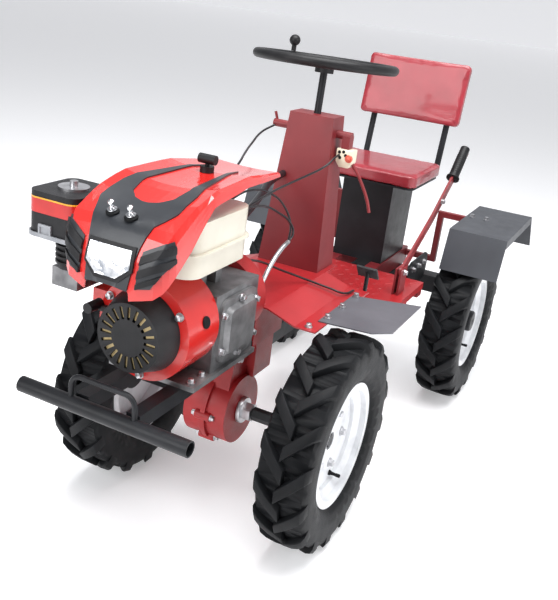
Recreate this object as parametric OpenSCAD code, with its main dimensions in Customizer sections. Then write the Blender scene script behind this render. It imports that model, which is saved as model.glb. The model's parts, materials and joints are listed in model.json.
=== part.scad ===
// Ride-on articulated farm machine built round a walk-behind power tiller.
// Lengths are in millimetres. X points forward, Y to the left, Z up.
// The origin is on the ground under the middle of the whole machine.
// Inside the modules, places along X are counted from the front axle.

/* [Wheels] */
// Tyre radius to the lug tips
tyre_r = 287.5; // [275:0.5:300]
// Tyre width over the lugs
tyre_w = 137; // [120:1:145]
// Height of the tread lugs
lug_h = 20; // [12:1:24]
// Radius of the bead seat of the rim
bead_r = 152.4; // [146:0.2:158]
// Height of the rim flange over the bead seat
flange_h = 16; // [12:0.5:20]
// Width of the rim over its flanges
rim_w = 104; // [98:1:110]
// Wall of the rim
rim_t = 4; // [3:0.5:5]
// Depth of the drop centre of the rim
well_d = 18; // [12:1:22]
// Distance from the front axle to the rear axle
wheelbase = 1120; // [1080:5:1180]
// Distance between the middles of the front tyres
front_track = 600; // [580:5:640]
// Distance between the middles of the rear tyres
rear_track = 700; // [685:5:730]

/* [Front drive] */
// Radius of the round axle case
case_r = 95; // [85:1:105]
// Width of the axle case
case_w = 125; // [110:1:135]
// Sideways place of the axle case
case_y = -12.5; // [-20:0.5:0]
// Size of the hexagonal axle shaft across its flats
hex_flats = 32; // [26:1:36]
// Radius of the axle journal inside the case
journal_r = 17; // [14:0.5:20]
// Radius of the bright collar on the axle
collar_r = 34; // [28:1:40]
// Height of the crankshaft over the ground
crank_z = 648; // [640:1:660]

/* [Engine] */
// Height of the engine feet over the ground
engine_base_z = 516; // [510:1:522]
// Place of the rear face of the engine
engine_rear_x = 100; // [95:1:110]
// Length of the crankcase
crankcase_l = 200; // [190:1:205]
// Width of the crankcase
crankcase_w = 210; // [190:2:230]
// Height of the crankcase over its feet
crankcase_h = 200; // [190:2:210]
// Radius of the red fan shroud
shroud_r = 117; // [112:1:119]
// Depth of the red fan shroud
shroud_l = 125; // [115:1:135]
// Radius of the recoil cover
recoil_r = 95; // [88:1:105]
// Depth of the recoil cover
recoil_l = 58; // [48:1:66]
// Tilt of the cylinder above the level
cylinder_tilt = 25; // [15:1:30]
// Length of the fuel tank
tank_l = 250; // [230:2:256]
// Width of the fuel tank
tank_w = 205; // [190:1:208]
// Height of the fuel tank
tank_h = 118; // [100:2:124]
// Height of the tank floor over the ground
tank_z = 792; // [780:1:800]

/* [Hood] */
// Length of the hood from its rear edge to its nose
hood_l = 552; // [530:2:575]
// Half of the greatest width of the hood
hood_half_w = 130; // [120:1:140]
// Height of the hood chin over the ground
hood_chin_z = 772; // [765:1:780]
// Height of the hood ridges over the chin
hood_rise = 203; // [195:1:215]
// Wall of the hood
hood_t = 4; // [3:0.5:5]
// Place of the nose of the hood
hood_nose_x = 567; // [560:1:575]

/* [Front frame] */
// Place of the bumper tube
bumper_x = 560; // [545:1:580]
// Height of the bumper tube over the ground
bumper_z = 499; // [490:1:505]
// Half of the length of the bumper tube
bumper_half_l = 218; // [190:2:240]
// Radius of the bumper tube
bumper_r = 18; // [15:0.5:21]
// Height of the flat sides of the apron
apron_z = 586; // [580:1:600]
// Rise of the middle of the apron
apron_rise = 26; // [20:1:34]
// Half of the width of the apron
apron_half_w = 245; // [235:1:255]
// Length of the apron
apron_l = 371; // [350:1:385]
// Thickness of the apron and the fenders
sheet_t = 4; // [3:0.5:5]
// Height of the steering column over the apron
column_h = 430; // [400:2:450]
// Lean of the steering column to the rear
column_lean = 4; // [2:0.5:6]
// Half of the width of the column at its foot
column_foot_half_w = 95; // [85:1:105]
// Half of the width of the column at its top
column_top_half_w = 66; // [58:1:75]

/* [Steering] */
// Radius of the steering wheel at the middle of its rim
steering_r = 188; // [170:1:200]
// Radius of the steering wheel rim tube
steering_tube_r = 13; // [11:0.5:15]
// Radius of the steering shaft
steering_shaft_r = 10; // [8:0.5:12]
// Height of the steering wheel over the column
steering_rise = 140; // [120:1:150]

/* [Articulation] */
// Distance of the kingpin behind the front axle
pivot_x = 470; // [460:1:485]
// Radius of the kingpin
kingpin_r = 15; // [12:0.5:17]
// Height of the drawbar over the ground, at its middle
drawbar_z = 430; // [425:1:435]
// Width of the drawbar
drawbar_w = 60; // [50:1:64]
// Height of the drawbar
drawbar_h = 50; // [44:1:54]

/* [Rear unit] */
// Height of the floor plate over the ground
floor_z = 490; // [486:1:496]
// Half of the width of the floor plate
floor_half_w = 273; // [262:1:277]
// Distance of the front of the floor behind the front axle
floor_front_x = 420; // [412:1:430]
// Length of the floor plate
floor_l = 395; // [380:1:420]
// Thickness of the floor plate
floor_t = 4; // [3:0.5:5]
// Height of the frame rails
rail_h = 60; // [50:1:64]
// Width of the frame rails
rail_w = 40; // [30:1:44]
// Sideways place of the frame rails
rail_y = 75; // [68:1:80]
// Size of the square rear beam
beam_s = 60; // [50:1:64]
// Radius of the rear stub axles
stub_r = 15; // [12:0.5:17]
// Width of the rear fenders
rear_fender_w = 196; // [180:2:205]
// Height of the top of the rear fenders
rear_fender_z = 651; // [640:1:665]
// Length of the flat top of the rear fenders
rear_fender_top_l = 418; // [400:2:430]

/* [Seat] */
// Width of the seat cushion
seat_w = 388; // [360:2:400]
// Depth of the seat cushion
seat_l = 320; // [300:2:335]
// Thickness of the seat cushion
seat_t = 42; // [35:1:55]
// Height of the seat pan over the ground
seat_z = 786; // [770:1:800]
// Height of the backrest
back_h = 228; // [200:2:250]
// Thickness of the backrest
back_t = 26; // [22:1:34]
// Lean of the backrest to the rear
back_lean = 11; // [8:0.5:14]

/* [Lift lever] */
// Sideways place of the lift lever
lift_y = 236; // [230:1:240]
// Thickness of the flat lever bar
lift_t = 8; // [6:0.5:10]
// Width of the flat lever bar
lift_w = 30; // [24:1:34]
// Radius of the lever grip
grip_r = 15; // [12:0.5:17]

/* [Hidden] */
$fn = 64;
// Clearance of a running or seated fit
fit = 0.3;
// Overrun of every cut
over = 2;

// Overall reach before and behind the front axle
front_reach = bumper_x + bumper_r;
fender_lead = 160;
fender_front_x = fender_lead - wheelbase;
fender_flap_shares = [0.1, 0.27];
fender_drop = 135;
rear_reach = -fender_front_x + rear_fender_top_l * (1 + fender_flap_shares[1]);
front_axle_x = (rear_reach - front_reach) / 2;

// Tyre and rim
tread_r = tyre_r;
bead_half = rim_w / 2 - rim_t;
flange_r = bead_r + flange_h;
well_r = bead_r - well_d;
well_half_share = 0.45;
seat_half_share = 0.72;
tyre_side_shares = [[0.1, 0.86], [0.28, 0.98], [0.5, 1], [0.72, 1], [0.9, 0.95]];
tread_half_share = 0.86;
disc_y = 8;
disc_t = 6;
hub_hole_r = 24;
hub_r = 34;
hub_l = 84;
shaft_flange_r = 52;
shaft_flange_t = 10;
collar_l = 12;
collar_gap = 0.5;
journal_l = 38;
rear_hub_in_y = -54;

// Gear case
case_lip = 8;
case_lip_t = 14;
neck_w = 100;
neck_shares = [-0.8, 0.8];
neck_top_x = [-118, 30];
neck_top_z = 500;
gear_top_w = 170;
clutch_r = 105;
clutch_l = 54;
case_front_x = engine_rear_x - clutch_l + over;
drawbar_flange_w = 120;
drawbar_flange_h = 110;
drawbar_flange_t = 12;

// Engine
foot_t = 12;
foot_l = 285;
foot_w = 230;
engine_mid_x = engine_rear_x + crankcase_l / 2;
shroud_x = engine_rear_x + crankcase_l + fit;
recoil_x = shroud_x + shroud_l + fit;
cylinder_l = 150;
cylinder_s = 120;
fin_n = 7;
fin_t = 4;
fin_over = 16;
fin_pitch = 13;
head_t = 34;
duct_w = 95;
duct_h = 160;
slot_n = 20;
slot_in_r = 42;
slot_out_r = 78;
slot_w = 7;
slot_d = 8;
handle_y = -118;
handle_z = 30;
handle_r = 12;
handle_l = 44;
tank_x = 190;
tank_y = 15;
tank_corner = 40;
tank_seam_t = 4;
tank_seam_over = 8;
tank_seam_share = 0.42;
tank_leg_w = 40;
tank_leg_t = 24;
tank_leg_inset = 10;

// Air cleaner and muffler
cleaner_x = 425;
cleaner_y = -200;
cleaner_z = 830;
cleaner_l = 150;
cleaner_w = 128;
cleaner_h = 90;
cleaner_corner = 24;
cleaner_plate_t = 8;
cleaner_plate_over = 4;
cleaner_disc_r = 34;
cleaner_disc_t = 5;
wing_nut_r = 9;
wing_nut_h = 12;
intake_r = 30;
intake_rib_r = 36;
intake_rib_n = 5;
intake_rib_t = 5;
intake_z = 742;
carb_l = 190;
carb_w = 70;
carb_h = 44;
muffler_x = 215;
muffler_y = -165;
muffler_z = 868;
muffler_l = 210;
muffler_r = 56;
muffler_leg_r = 18;

// Hood surface, given along its length by shares
hood_x_shares = [[0, 0], [0.8, 0.924], [0.9, 0.972], [1, 1]];
hood_w_shares = [[0, 0.7], [0.18, 0.83], [0.4, 0.93], [0.62, 0.99], [0.8, 1], [0.9, 0.86], [1, 0.42]];
hood_top_shares = [[0, 0.86], [0.3, 0.946], [0.55, 0.916], [0.8, 0.7], [0.9, 0.46], [1, 0.12]];
hood_edge_shares = [[0, 0.877], [0.3, 1], [0.55, 0.985], [0.68, 0.88], [0.8, 0.68], [0.9, 0.42], [1, 0.1]];
hood_low_shares = [[0, 0.83], [0.33, 0.9], [0.58, 0.84], [0.64, 0.7], [0.7, 0.5], [0.77, 0.33], [0.84, 0.17],
    [0.92, 0.05], [1, 0]];
hood_crease_share = 0.62;
hood_shoulder_share = 0.94;
hood_u_n = 24;
hood_v_n = 10;
trim_t = 2.5;
band_rows = [12, 23];
band_cols = [-3, 3];
lamp_rows = [20, 23];
lamp_cols = [-3, 3];
lamp_t = 6;
vent_rows = [19, 22];
vent_cols = [6, 9];
hood_rear_x = hood_nose_x - hood_l;
knob_x = 212;
knob_r = 11;
knob_bar_l = 42;
knob_stud_r = 5;
knob_boss_r = 16;
knob_rise = 40;

// Bumper and engine bearers
bearer_y = 66;
bearer_w = 34;
bumper_wall = 3;
hoop_half_w = 82;
hoop_h = 50;
hoop_r = 6;
hoop_bend = 26;

// Apron, front fenders and column
apron_front_x = 40;
apron_top_half_w = 110;
apron_tongue_l = 84;
apron_slope_half_w = 190;
front_fender_t = 3;
fender_in_y = 222;
fender_out_y = 401;
fender_x = [-28, -325];
fender_corner = [60, 42];
column_foot_x = -298;
column_foot_l = 112;
column_top_l = 76;
column_wall = 4;
column_lean_x = column_h * tan(column_lean + 1);
column_base_z = apron_z + apron_rise;
column_top_z = column_base_z + column_h;
shaft_top_x = column_foot_x - column_lean_x - column_top_l / 2;
shaft_below = 150;
bush_r = 22;
bush_t = 10;
control_z = 996;
control_r = 11;
control_reach = [112, 128];
lever_block_l = 30;
lever_block_w = 22;
lever_block_h = 34;
brake_lever_l = 62;
brake_lever_r = 4;
hand_lever_l = 66;

// Gear lever and pedal
gear_rod_r = 6;
gear_bend_r = 230;
gear_tilt = 32;
gear_foot_x = 2;
gear_y = 62;
gear_sweep = 46;
gear_boss_r = 14;
gear_boss_h = 20;
pedal_x = -396;
pedal_y = 212;
pedal_z = 620;
pedal_l = 46;
pedal_w = 62;
pedal_t = 6;
pedal_tilt = 40;
pedal_arm_r = 6;
pedal_arm_z = 552;

// Articulated joint
boss_r = 32;
ear_t = 12;
ear_gap = 3;
ear_r = 34;
pin_head_r = 22;
pin_head_t = 6;
yoke_back = 50;
yoke_x = pivot_x + yoke_back;
yoke_t = 12;
yoke_half_w = 62;

// Rear frame
rail_front_x = yoke_x + yoke_t;
rail_over = 76;
rail_rear_x = wheelbase + rail_over;
cross_w = 40;
drop_t = 12;
drop_l = 70;
drop_below = 44;
stub_gap = 15;
stub_over = 40;
stub_end_y = rear_track / 2 + disc_y + stub_over;
drop_y = rear_track / 2 - tyre_w / 2 - stub_gap - drop_t;
floor_flange = 22;
floor_cut_x = 141;
floor_cut_y = 110;
hitch_back = 220;
hitch_x = wheelbase + hitch_back;
hitch_t = 10;
hitch_gap = 34;
hitch_bore_r = 9.5;
hitch_r = 32;
rear_fender_t = 3;
rear_fender_in_y = 290;
rear_fender_lip = 28;
bracket_s = 20;
bracket_back = 60;
bracket_x = wheelbase + bracket_back;
bracket_y = 210;
bracket_z = 466;

// Seat
pedestal_lead = 220;
pedestal_back = 20;
pedestal_x = [wheelbase - pedestal_lead, wheelbase + pedestal_back];
pedestal_half_w = 90;
pedestal_t = 4;
pan_t = 6;
pan_inset = 14;
seat_lead = 320;
seat_front_x = wheelbase - seat_lead;
cushion_corner = 26;
post_y = 139;
post_r = 11;
post_bend = 42;
post_lead = 170;
post_front_x = wheelbase - post_lead;
post_bend_n = 6;
post_sides = 16;
back_behind = 95;
back_x = wheelbase + back_behind;
back_z = 942;
back_corner = 18;
post_top_share = 0.55;

// Lift lever, from its pivot back to its grip
lift_pivot = [-655, 560];
lift_line = [[-640, 569], [-908, 697], [-1091, 806]];
grip_end = [-1193, 883];
lift_ear_l = 60;
lift_ear_t = 6;
lift_bolt_r = 6;

// Frame shift, so that places along X count from the front axle
module placed() {
    translate([front_axle_x, 0, 0]) children();
}

// Turns a shape made along Z so that it lies along Y
module crosswise() {
    rotate([-90, 0, 0]) children();
}

// Turns a shape made along Z so that it lies along X
module lengthwise() {
    rotate([0, 90, 0]) children();
}

// Extrudes an outline in X and Z over a width in Y, about the middle
module side_profile(w) {
    rotate([90, 0, 0]) linear_extrude(height = w, center = true) children();
}

// Extrudes an outline in Y and Z over a length in X
module cross_profile(l) {
    rotate([90, 0, 90]) linear_extrude(height = l) children();
}

// Both sides of the machine
module both_sides() {
    children();
    mirror([0, 1, 0]) children();
}

// Rectangle with round corners, about the middle
module round_rect(l, w, r) {
    square([l - 2 * r, w], center = true);
    square([l, w - 2 * r], center = true);
    for (sx = [-1, 1], sy = [-1, 1]) {
        translate([sx * (l / 2 - r), sy * (w / 2 - r)]) circle(r = r);
    }
}

// Wheel place, with the outer side towards +Y before mirroring
module at_wheel(x, track, side) {
    translate([x, side * track / 2, tyre_r]) mirror([0, side < 0 ? 1 : 0, 0]) children();
}

function unit_of(v) = v / norm(v);
function left_of(v) = [-v[1], v[0]];
function mitre(a, b) = (a + b) / (1 + a * b);
function line_normals(p) = [for (i = [0:len(p) - 2]) left_of(unit_of(p[i + 1] - p[i]))];
// Outline of a bent sheet: a line and its copy at a distance t to the left
function strip(p, t) = let (n = line_normals(p), m = len(n)) concat(p,
    [for (i = [m:-1:0]) p[i] + t * (i == 0 ? n[0] : i == m ? n[m - 1] : mitre(n[i - 1], n[i]))]);
function flip_y(p) = [for (i = [len(p) - 1:-1:0]) [p[i][0], -p[i][1]]];

// Solid between two grids of points, n rows of m points
module sheet_solid(outer, inner) {
    n = len(outer);
    m = len(outer[0]);
    last = n * m;
    points = concat([for (row = outer) each row], [for (row = inner) each row]);
    top = [for (i = [0:n - 2], j = [0:m - 2]) let (a = i * m + j, b = a + 1, d = a + m, c = d + 1)
        each [[a, b, c], [a, c, d]]];
    bottom = [for (f = top) [f[0] + last, f[2] + last, f[1] + last]];
    right = [for (i = [0:n - 2]) let (a = i * m, d = a + m) each [[a, d, d + last], [a, d + last, a + last]]];
    left = [for (i = [0:n - 2]) let (b = i * m + m - 1, c = b + m)
        each [[c, b, b + last], [c, b + last, c + last]]];
    rear = [for (j = [0:m - 2]) each [[j + 1, j, j + last], [j + 1, j + last, j + 1 + last]]];
    front = [for (j = [0:m - 2]) let (d = last - m + j, c = d + 1)
        each [[d, c, c + last], [d, c + last, d + last]]];
    polyhedron(points, concat(top, bottom, right, left, rear, front));
}

// Round rod along a line of points, with flat sides
function bisector(p, i) = i == 0 ? unit_of(p[1] - p[0]) : i == len(p) - 1 ? unit_of(p[i] - p[i - 1])
    : unit_of(unit_of(p[i] - p[i - 1]) + unit_of(p[i + 1] - p[i]));
function rod_ring(at, dir, r, sides) = let (
    ref = abs(dir[1]) < 0.8 ? [0, 1, 0] : [1, 0, 0],
    a = unit_of(cross(dir, ref)),
    b = cross(dir, a))
    [for (k = [0:sides - 1]) at + r * (cos(360 * k / sides) * a + sin(360 * k / sides) * b)];
module rod(p, r, sides) {
    n = len(p);
    points = [for (i = [0:n - 1]) each rod_ring(p[i], bisector(p, i), r, sides)];
    wall = [for (i = [0:n - 2], k = [0:sides - 1]) let (a = i * sides + k, b = i * sides + (k + 1) % sides)
        each [[a, a + sides, b + sides], [a, b + sides, b]]];
    first = [for (k = [0:sides - 1]) k];
    last = [for (k = [sides - 1:-1:0]) (n - 1) * sides + k];
    polyhedron(points, concat([first], wall, [last]));
}
// Points of a bend in X and Z round a centre, from one angle to another
function bend_points(centre, y, r, from, to, n) = [for (i = [0:n])
    let (t = from + (to - from) * i / n) [centre[0] + r * cos(t), y, centre[1] + r * sin(t)]];

// Rounded tyre section, out to the lug tips
module tyre() {
    side = concat([[bead_r + fit, bead_half - fit], [flange_r, bead_half - fit]],
        [for (s = tyre_side_shares) [flange_r + s[0] * (tread_r - flange_r), s[1] * tyre_w / 2]],
        [[tread_r, tread_half_share * tyre_w / 2]]);
    color("dimgray") crosswise() rotate_extrude() polygon(concat(side, flip_y(side)));
}

// Drop-centre rim with a flat disc
module rim_barrel() {
    half = [[flange_r, bead_half], [bead_r, bead_half], [bead_r, seat_half_share * bead_half],
        [well_r, well_half_share * bead_half]];
    crosswise() rotate_extrude() polygon(strip(concat(half, flip_y(half)), -rim_t));
    translate([0, disc_y, 0]) crosswise() difference() {
        cylinder(r = well_r - rim_t / 2, h = disc_t);
        translate([0, 0, -over]) cylinder(r = hub_hole_r, h = disc_t + 2 * over);
    }
}

module front_rim() {
    color("white") rim_barrel();
}

// Rear rim with its hub, which runs on the stub axle
module rear_rim() {
    color("white") {
        rim_barrel();
        difference() {
            translate([0, rear_hub_in_y, 0]) crosswise() cylinder(r = hub_r, h = hub_l);
            translate([0, rear_hub_in_y - over, 0]) crosswise() cylinder(r = stub_r + fit, h = hub_l + 2 * over);
        }
    }
}

// Axle shaft of a front wheel: journal in the case, collar, hexagon and flange against the disc
module front_shaft(side) {
    face = case_w / 2 + side * case_y - front_track / 2;
    collar_y = face + collar_gap;
    hex_y = collar_y + collar_l;
    color("silver") {
        translate([0, face - journal_l, 0]) crosswise() cylinder(r = journal_r, h = journal_l + collar_gap + over);
        translate([0, collar_y, 0]) crosswise() cylinder(r = collar_r, h = collar_l);
        translate([0, hex_y - over, 0]) crosswise()
            cylinder(r = hex_flats / 2 / cos(30), h = disc_y + disc_t - hex_y + over, $fn = 6);
        translate([0, disc_y - shaft_flange_t, 0]) crosswise() cylinder(r = shaft_flange_r, h = shaft_flange_t);
    }
}

// Cast case: axle drum, neck, gear housing under the apron and clutch bell behind the engine
module gearcase() {
    top_z = apron_z + apron_rise - sheet_t;
    color("firebrick") difference() {
        union() {
            translate([0, case_y, tyre_r]) crosswise() cylinder(r = case_r, h = case_w, center = true);
            translate([0, case_y, tyre_r]) crosswise()
                cylinder(r = case_r + case_lip, h = case_lip_t, center = true);
            translate([0, case_y, 0]) side_profile(neck_w) polygon([[neck_shares[0] * case_r, tyre_r],
                [neck_shares[1] * case_r, tyre_r], [neck_top_x[1], neck_top_z], [neck_top_x[0], neck_top_z]]);
            translate([neck_top_x[0], -gear_top_w / 2, neck_top_z - over])
                cube([neck_top_x[1] - neck_top_x[0], gear_top_w, top_z - neck_top_z + over]);
            translate([engine_rear_x - clutch_l, 0, crank_z - shroud_r + clutch_r]) lengthwise()
                cylinder(r = clutch_r, h = clutch_l);
            translate([neck_top_x[1] - over, -gear_top_w / 2, neck_top_z])
                cube([case_front_x - neck_top_x[1] + over, gear_top_w, top_z - neck_top_z - sheet_t]);
            translate([neck_top_x[0] - drawbar_flange_t, -drawbar_flange_w / 2, drawbar_z - drawbar_flange_h / 2])
                cube([neck_w, drawbar_flange_w, drawbar_flange_h]);
        }
        for (side = [-1, 1]) {
            translate([0, side * (case_w / 2 + side * case_y + over), tyre_r]) rotate([side * 90, 0, 0])
                cylinder(r = journal_r + fit, h = journal_l + 2 * over);
        }
    }
}

// Crankcase on its feet, with the finned cylinder lying to the right
module engine_block() {
    color("lightgray") {
        translate([engine_rear_x, -foot_w / 2, engine_base_z]) cube([foot_l, foot_w, foot_t]);
        translate([engine_rear_x, -crankcase_w / 2, engine_base_z]) cube([crankcase_l, crankcase_w, crankcase_h]);
        translate([engine_mid_x, 0, crank_z]) rotate([90 - cylinder_tilt, 0, 0]) {
            translate([0, 0, (crankcase_w / 2 + cylinder_l) / 2])
                cube([cylinder_s, cylinder_s, crankcase_w / 2 + cylinder_l], center = true);
            for (i = [0:fin_n - 1]) {
                translate([0, 0, crankcase_w / 2 + cylinder_l - head_t - i * fin_pitch])
                    cube([cylinder_s + fin_over, cylinder_s + fin_over, fin_t], center = true);
            }
        }
        for (x = [tank_x + tank_leg_inset, engine_rear_x + crankcase_l - tank_leg_inset - tank_leg_t]) {
            translate([x, tank_y, engine_base_z + crankcase_h - over])
                cube([tank_leg_t, tank_leg_w, tank_z - engine_base_z - crankcase_h + over]);
        }
        translate([engine_mid_x + cylinder_s / 2 - over, cleaner_y - carb_w / 2, intake_z - carb_h])
            cube([carb_l, carb_w, carb_h]);
    }
}

// Fan shroud round the flywheel, with its duct towards the cylinder
module fan_shroud() {
    color("red") translate([shroud_x, 0, crank_z]) {
        lengthwise() cylinder(r = shroud_r, h = shroud_l);
        translate([0, -duct_h, 0]) cube([duct_w, duct_h, duct_w / 2]);
    }
}

// Recoil cover with its ring of slots and the pull handle
module recoil_cover() {
    color("black") translate([recoil_x, 0, crank_z]) {
        difference() {
            lengthwise() cylinder(r1 = recoil_r, r2 = slot_out_r, h = recoil_l);
            for (i = [0:slot_n - 1]) {
                rotate([i * 360 / slot_n, 0, 0]) translate([recoil_l - slot_d, slot_in_r, -slot_w / 2])
                    cube([slot_d + over, slot_out_r - slot_in_r - slot_d, slot_w]);
            }
        }
        translate([0, handle_y, handle_z]) lengthwise() cylinder(r = handle_r, h = handle_l);
        translate([0, handle_y, handle_z - handle_r]) cube([handle_r, recoil_r - slot_in_r, handle_r]);
    }
}

// Pressed steel tank in two halves with a seam flange
module fuel_tank() {
    seam_z = tank_seam_share * tank_h;
    color("wheat") translate([tank_x + tank_l / 2, tank_y, tank_z]) {
        linear_extrude(height = tank_h) round_rect(tank_l, tank_w, tank_corner);
        translate([0, 0, seam_z]) linear_extrude(height = tank_seam_t)
            round_rect(tank_l + 2 * tank_seam_over, tank_w + 2 * tank_seam_over, tank_corner + tank_seam_over);
    }
}

// Air cleaner housing on its plate and ribbed intake
module air_cleaner() {
    color("black") translate([cleaner_x, cleaner_y, 0]) {
        translate([0, 0, cleaner_z]) linear_extrude(height = cleaner_h)
            round_rect(cleaner_l, cleaner_w, cleaner_corner);
        translate([0, 0, cleaner_z - cleaner_plate_t]) linear_extrude(height = cleaner_plate_t)
            round_rect(cleaner_l + 2 * cleaner_plate_over, cleaner_w + 2 * cleaner_plate_over,
                cleaner_corner + cleaner_plate_over);
        translate([0, 0, intake_z]) cylinder(r = intake_r, h = cleaner_z - intake_z);
        for (i = [1:intake_rib_n]) {
            translate([0, 0, intake_z + i * (cleaner_z - intake_z) / (intake_rib_n + 2)])
                cylinder(r = intake_rib_r, h = intake_rib_t);
        }
    }
}

// Bright disc and wing nut on top of the air cleaner
module air_cleaner_cap() {
    color("silver") translate([cleaner_x, cleaner_y, cleaner_z + cleaner_h]) {
        cylinder(r = cleaner_disc_r, h = cleaner_disc_t);
        cylinder(r = wing_nut_r, h = cleaner_disc_t + wing_nut_h);
    }
}

// Muffler drum standing on the exhaust pipe of the cylinder head
module muffler() {
    fin_top = crankcase_w / 2 + cylinder_l - head_t + fin_t / 2;
    pipe_z = crank_z + fin_top * sin(cylinder_tilt) + (cylinder_s + fin_over) / 2 * cos(cylinder_tilt) + fit;
    color("dimgray") translate([muffler_x, muffler_y, 0]) {
        translate([0, 0, muffler_z]) lengthwise() cylinder(r = muffler_r, h = muffler_l, center = true);
        translate([0, 0, pipe_z]) cylinder(r = muffler_leg_r, h = muffler_z - pipe_z);
    }
}

// Point of the hood surface: u from rear to nose, v from the right lip over the top to the left lip
function hood_x(u) = hood_rear_x + hood_l * lookup(u, hood_x_shares);
function hood_z(u, table) = hood_chin_z + hood_rise * lookup(u, table);
function hood_point(u, v) = let (
    w = hood_half_w * lookup(u, hood_w_shares),
    top = hood_z(u, hood_top_shares),
    edge = hood_z(u, hood_edge_shares),
    low = hood_z(u, hood_low_shares),
    a = abs(v) / hood_crease_share,
    b = (abs(v) - hood_crease_share) / (1 - hood_crease_share),
    side = v < 0 ? -1 : 1)
    a < 1
        ? [hood_x(u), side * hood_shoulder_share * w * a, top + (edge - top) * a * a]
        : [hood_x(u), side * w * (hood_shoulder_share + (1 - hood_shoulder_share) * sqrt(b)), edge + (low - edge) * b];
hood_step_share = 0.004;
function hood_normal(u, v) = let (e = hood_step_share,
    du = hood_point(min(1, u + e), v) - hood_point(max(0, u - e), v),
    dv = hood_point(u, min(1, v + e)) - hood_point(u, max(-1, v - e)))
    unit_of(cross(du, dv));
function hood_offset(u, v, o) = hood_point(u, v) + o * hood_normal(u, v);
function hood_grid(rows, cols, o) = [for (i = [rows[0]:rows[1]]) [for (j = [cols[0]:cols[1]])
    hood_offset(i / hood_u_n, j / hood_v_n, o)]];

// Patch of sheet on the hood surface between two distances from it
module hood_patch(rows, cols, low, high) {
    sheet_solid(hood_grid(rows, cols, high), hood_grid(rows, cols, low));
}

module hood_shell() {
    color("red") difference() {
        hood_patch([0, hood_u_n], [-hood_v_n, hood_v_n], -hood_t, 0);
        translate([knob_x, 0, hood_chin_z]) cylinder(r = knob_stud_r + fit, h = 2 * hood_rise);
    }
}

// Black centre band of the nose
module hood_panel() {
    color("black") hood_patch(band_rows, band_cols, fit, trim_t);
}

// Headlight lens on the centre band
module headlight() {
    color("whitesmoke") hood_patch(lamp_rows, lamp_cols, trim_t + fit, trim_t + lamp_t);
}

// Vent panels at both sides of the nose
module hood_vents() {
    color("black") {
        hood_patch(vent_rows, vent_cols, fit, trim_t);
        hood_patch(vent_rows, [-vent_cols[1], -vent_cols[0]], fit, trim_t);
    }
}

// Hand knob that holds the hood down on the tank stud
module hood_knob() {
    stud_z = tank_z + tank_h;
    hood_top = hood_z((knob_x - hood_rear_x) / hood_l / hood_x_shares[1][1] * hood_x_shares[1][0], hood_top_shares);
    color("black") translate([knob_x, 0, 0]) {
        translate([0, 0, stud_z]) cylinder(r = knob_stud_r, h = hood_top + knob_rise - stud_z - knob_r);
        translate([0, 0, hood_top + fit]) cylinder(r = knob_boss_r, h = knob_rise / 3);
        translate([0, 0, hood_top + knob_rise - knob_r]) crosswise()
            cylinder(r = knob_r, h = knob_bar_l, center = true);
    }
}

// Two bearers under the engine, from the bumper to the gear case
module engine_bearers() {
    color("black") both_sides() {
        translate([case_front_x, bearer_y - bearer_w / 2, bumper_z - bumper_r])
            cube([bumper_x - bumper_r - case_front_x - fit, bearer_w, engine_base_z - bumper_z + bumper_r]);
    }
}

// Bumper tube with a towing hoop
module bumper() {
    color("black") translate([bumper_x, 0, bumper_z]) {
        difference() {
            crosswise() cylinder(r = bumper_r, h = 2 * bumper_half_l, center = true);
            for (side = [-1, 1]) {
                translate([0, side * bumper_half_l, 0]) crosswise()
                    cylinder(r = bumper_r - bumper_wall, h = bumper_half_l, center = true);
            }
        }
        for (side = [-1, 1]) {
            translate([0, side * hoop_half_w, 0]) cylinder(r = hoop_r, h = bumper_r + hoop_h - hoop_bend);
            translate([0, side * (hoop_half_w - hoop_bend), bumper_r + hoop_h - hoop_bend]) rotate([90, 0, 90])
                rotate([0, 0, side > 0 ? 0 : 90]) rotate_extrude(angle = 90) translate([hoop_bend, 0]) circle(r = hoop_r);
        }
        translate([0, 0, bumper_r + hoop_h]) crosswise()
            cylinder(r = hoop_r, h = 2 * (hoop_half_w - hoop_bend), center = true);
    }
}

// Folded apron over the gear case
module apron() {
    ridge = apron_z + apron_rise;
    half = [[apron_half_w, apron_z], [apron_slope_half_w, apron_z], [apron_top_half_w, ridge]];
    line = concat(half, [for (i = [len(half) - 1:-1:0]) [-half[i][0], half[i][1]]]);
    rear = apron_front_x - apron_l;
    color("firebrick") {
        translate([rear, 0, 0]) cross_profile(apron_l) polygon(strip(line, sheet_t));
        translate([rear - apron_tongue_l, -apron_top_half_w, ridge - sheet_t])
            cube([apron_tongue_l + over, 2 * apron_top_half_w, sheet_t]);
    }
}

// Flat front fenders bolted on the sides of the apron
module front_fenders() {
    color("dimgray") both_sides() {
        translate([0, 0, apron_z]) linear_extrude(height = front_fender_t) polygon([[fender_x[0], fender_in_y],
            [fender_x[0] - fender_corner[0] / 3, fender_out_y - fender_corner[1]],
            [fender_x[0] - fender_corner[0], fender_out_y], [fender_x[1], fender_out_y],
            [fender_x[1] + fender_corner[0], fender_in_y]]);
    }
}

// Ring of a column section at a height, inset by a wall
function column_ring(z, half_w, front, length, inset) = [[front - inset, half_w - inset, z],
    [front - inset, -half_w + inset, z], [front - length + inset, -half_w + inset, z],
    [front - length + inset, half_w - inset, z]];
module column_box(inset, z0, z1) {
    points = concat(column_ring(z0, column_foot_half_w, column_foot_x, column_foot_l, inset),
        column_ring(z1, column_top_half_w, column_foot_x - column_lean_x, column_top_l, inset));
    polyhedron(points, [[3, 2, 1, 0], [4, 5, 6, 7], [0, 1, 5, 4], [1, 2, 6, 5], [2, 3, 7, 6], [3, 0, 4, 7]]);
}

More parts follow.
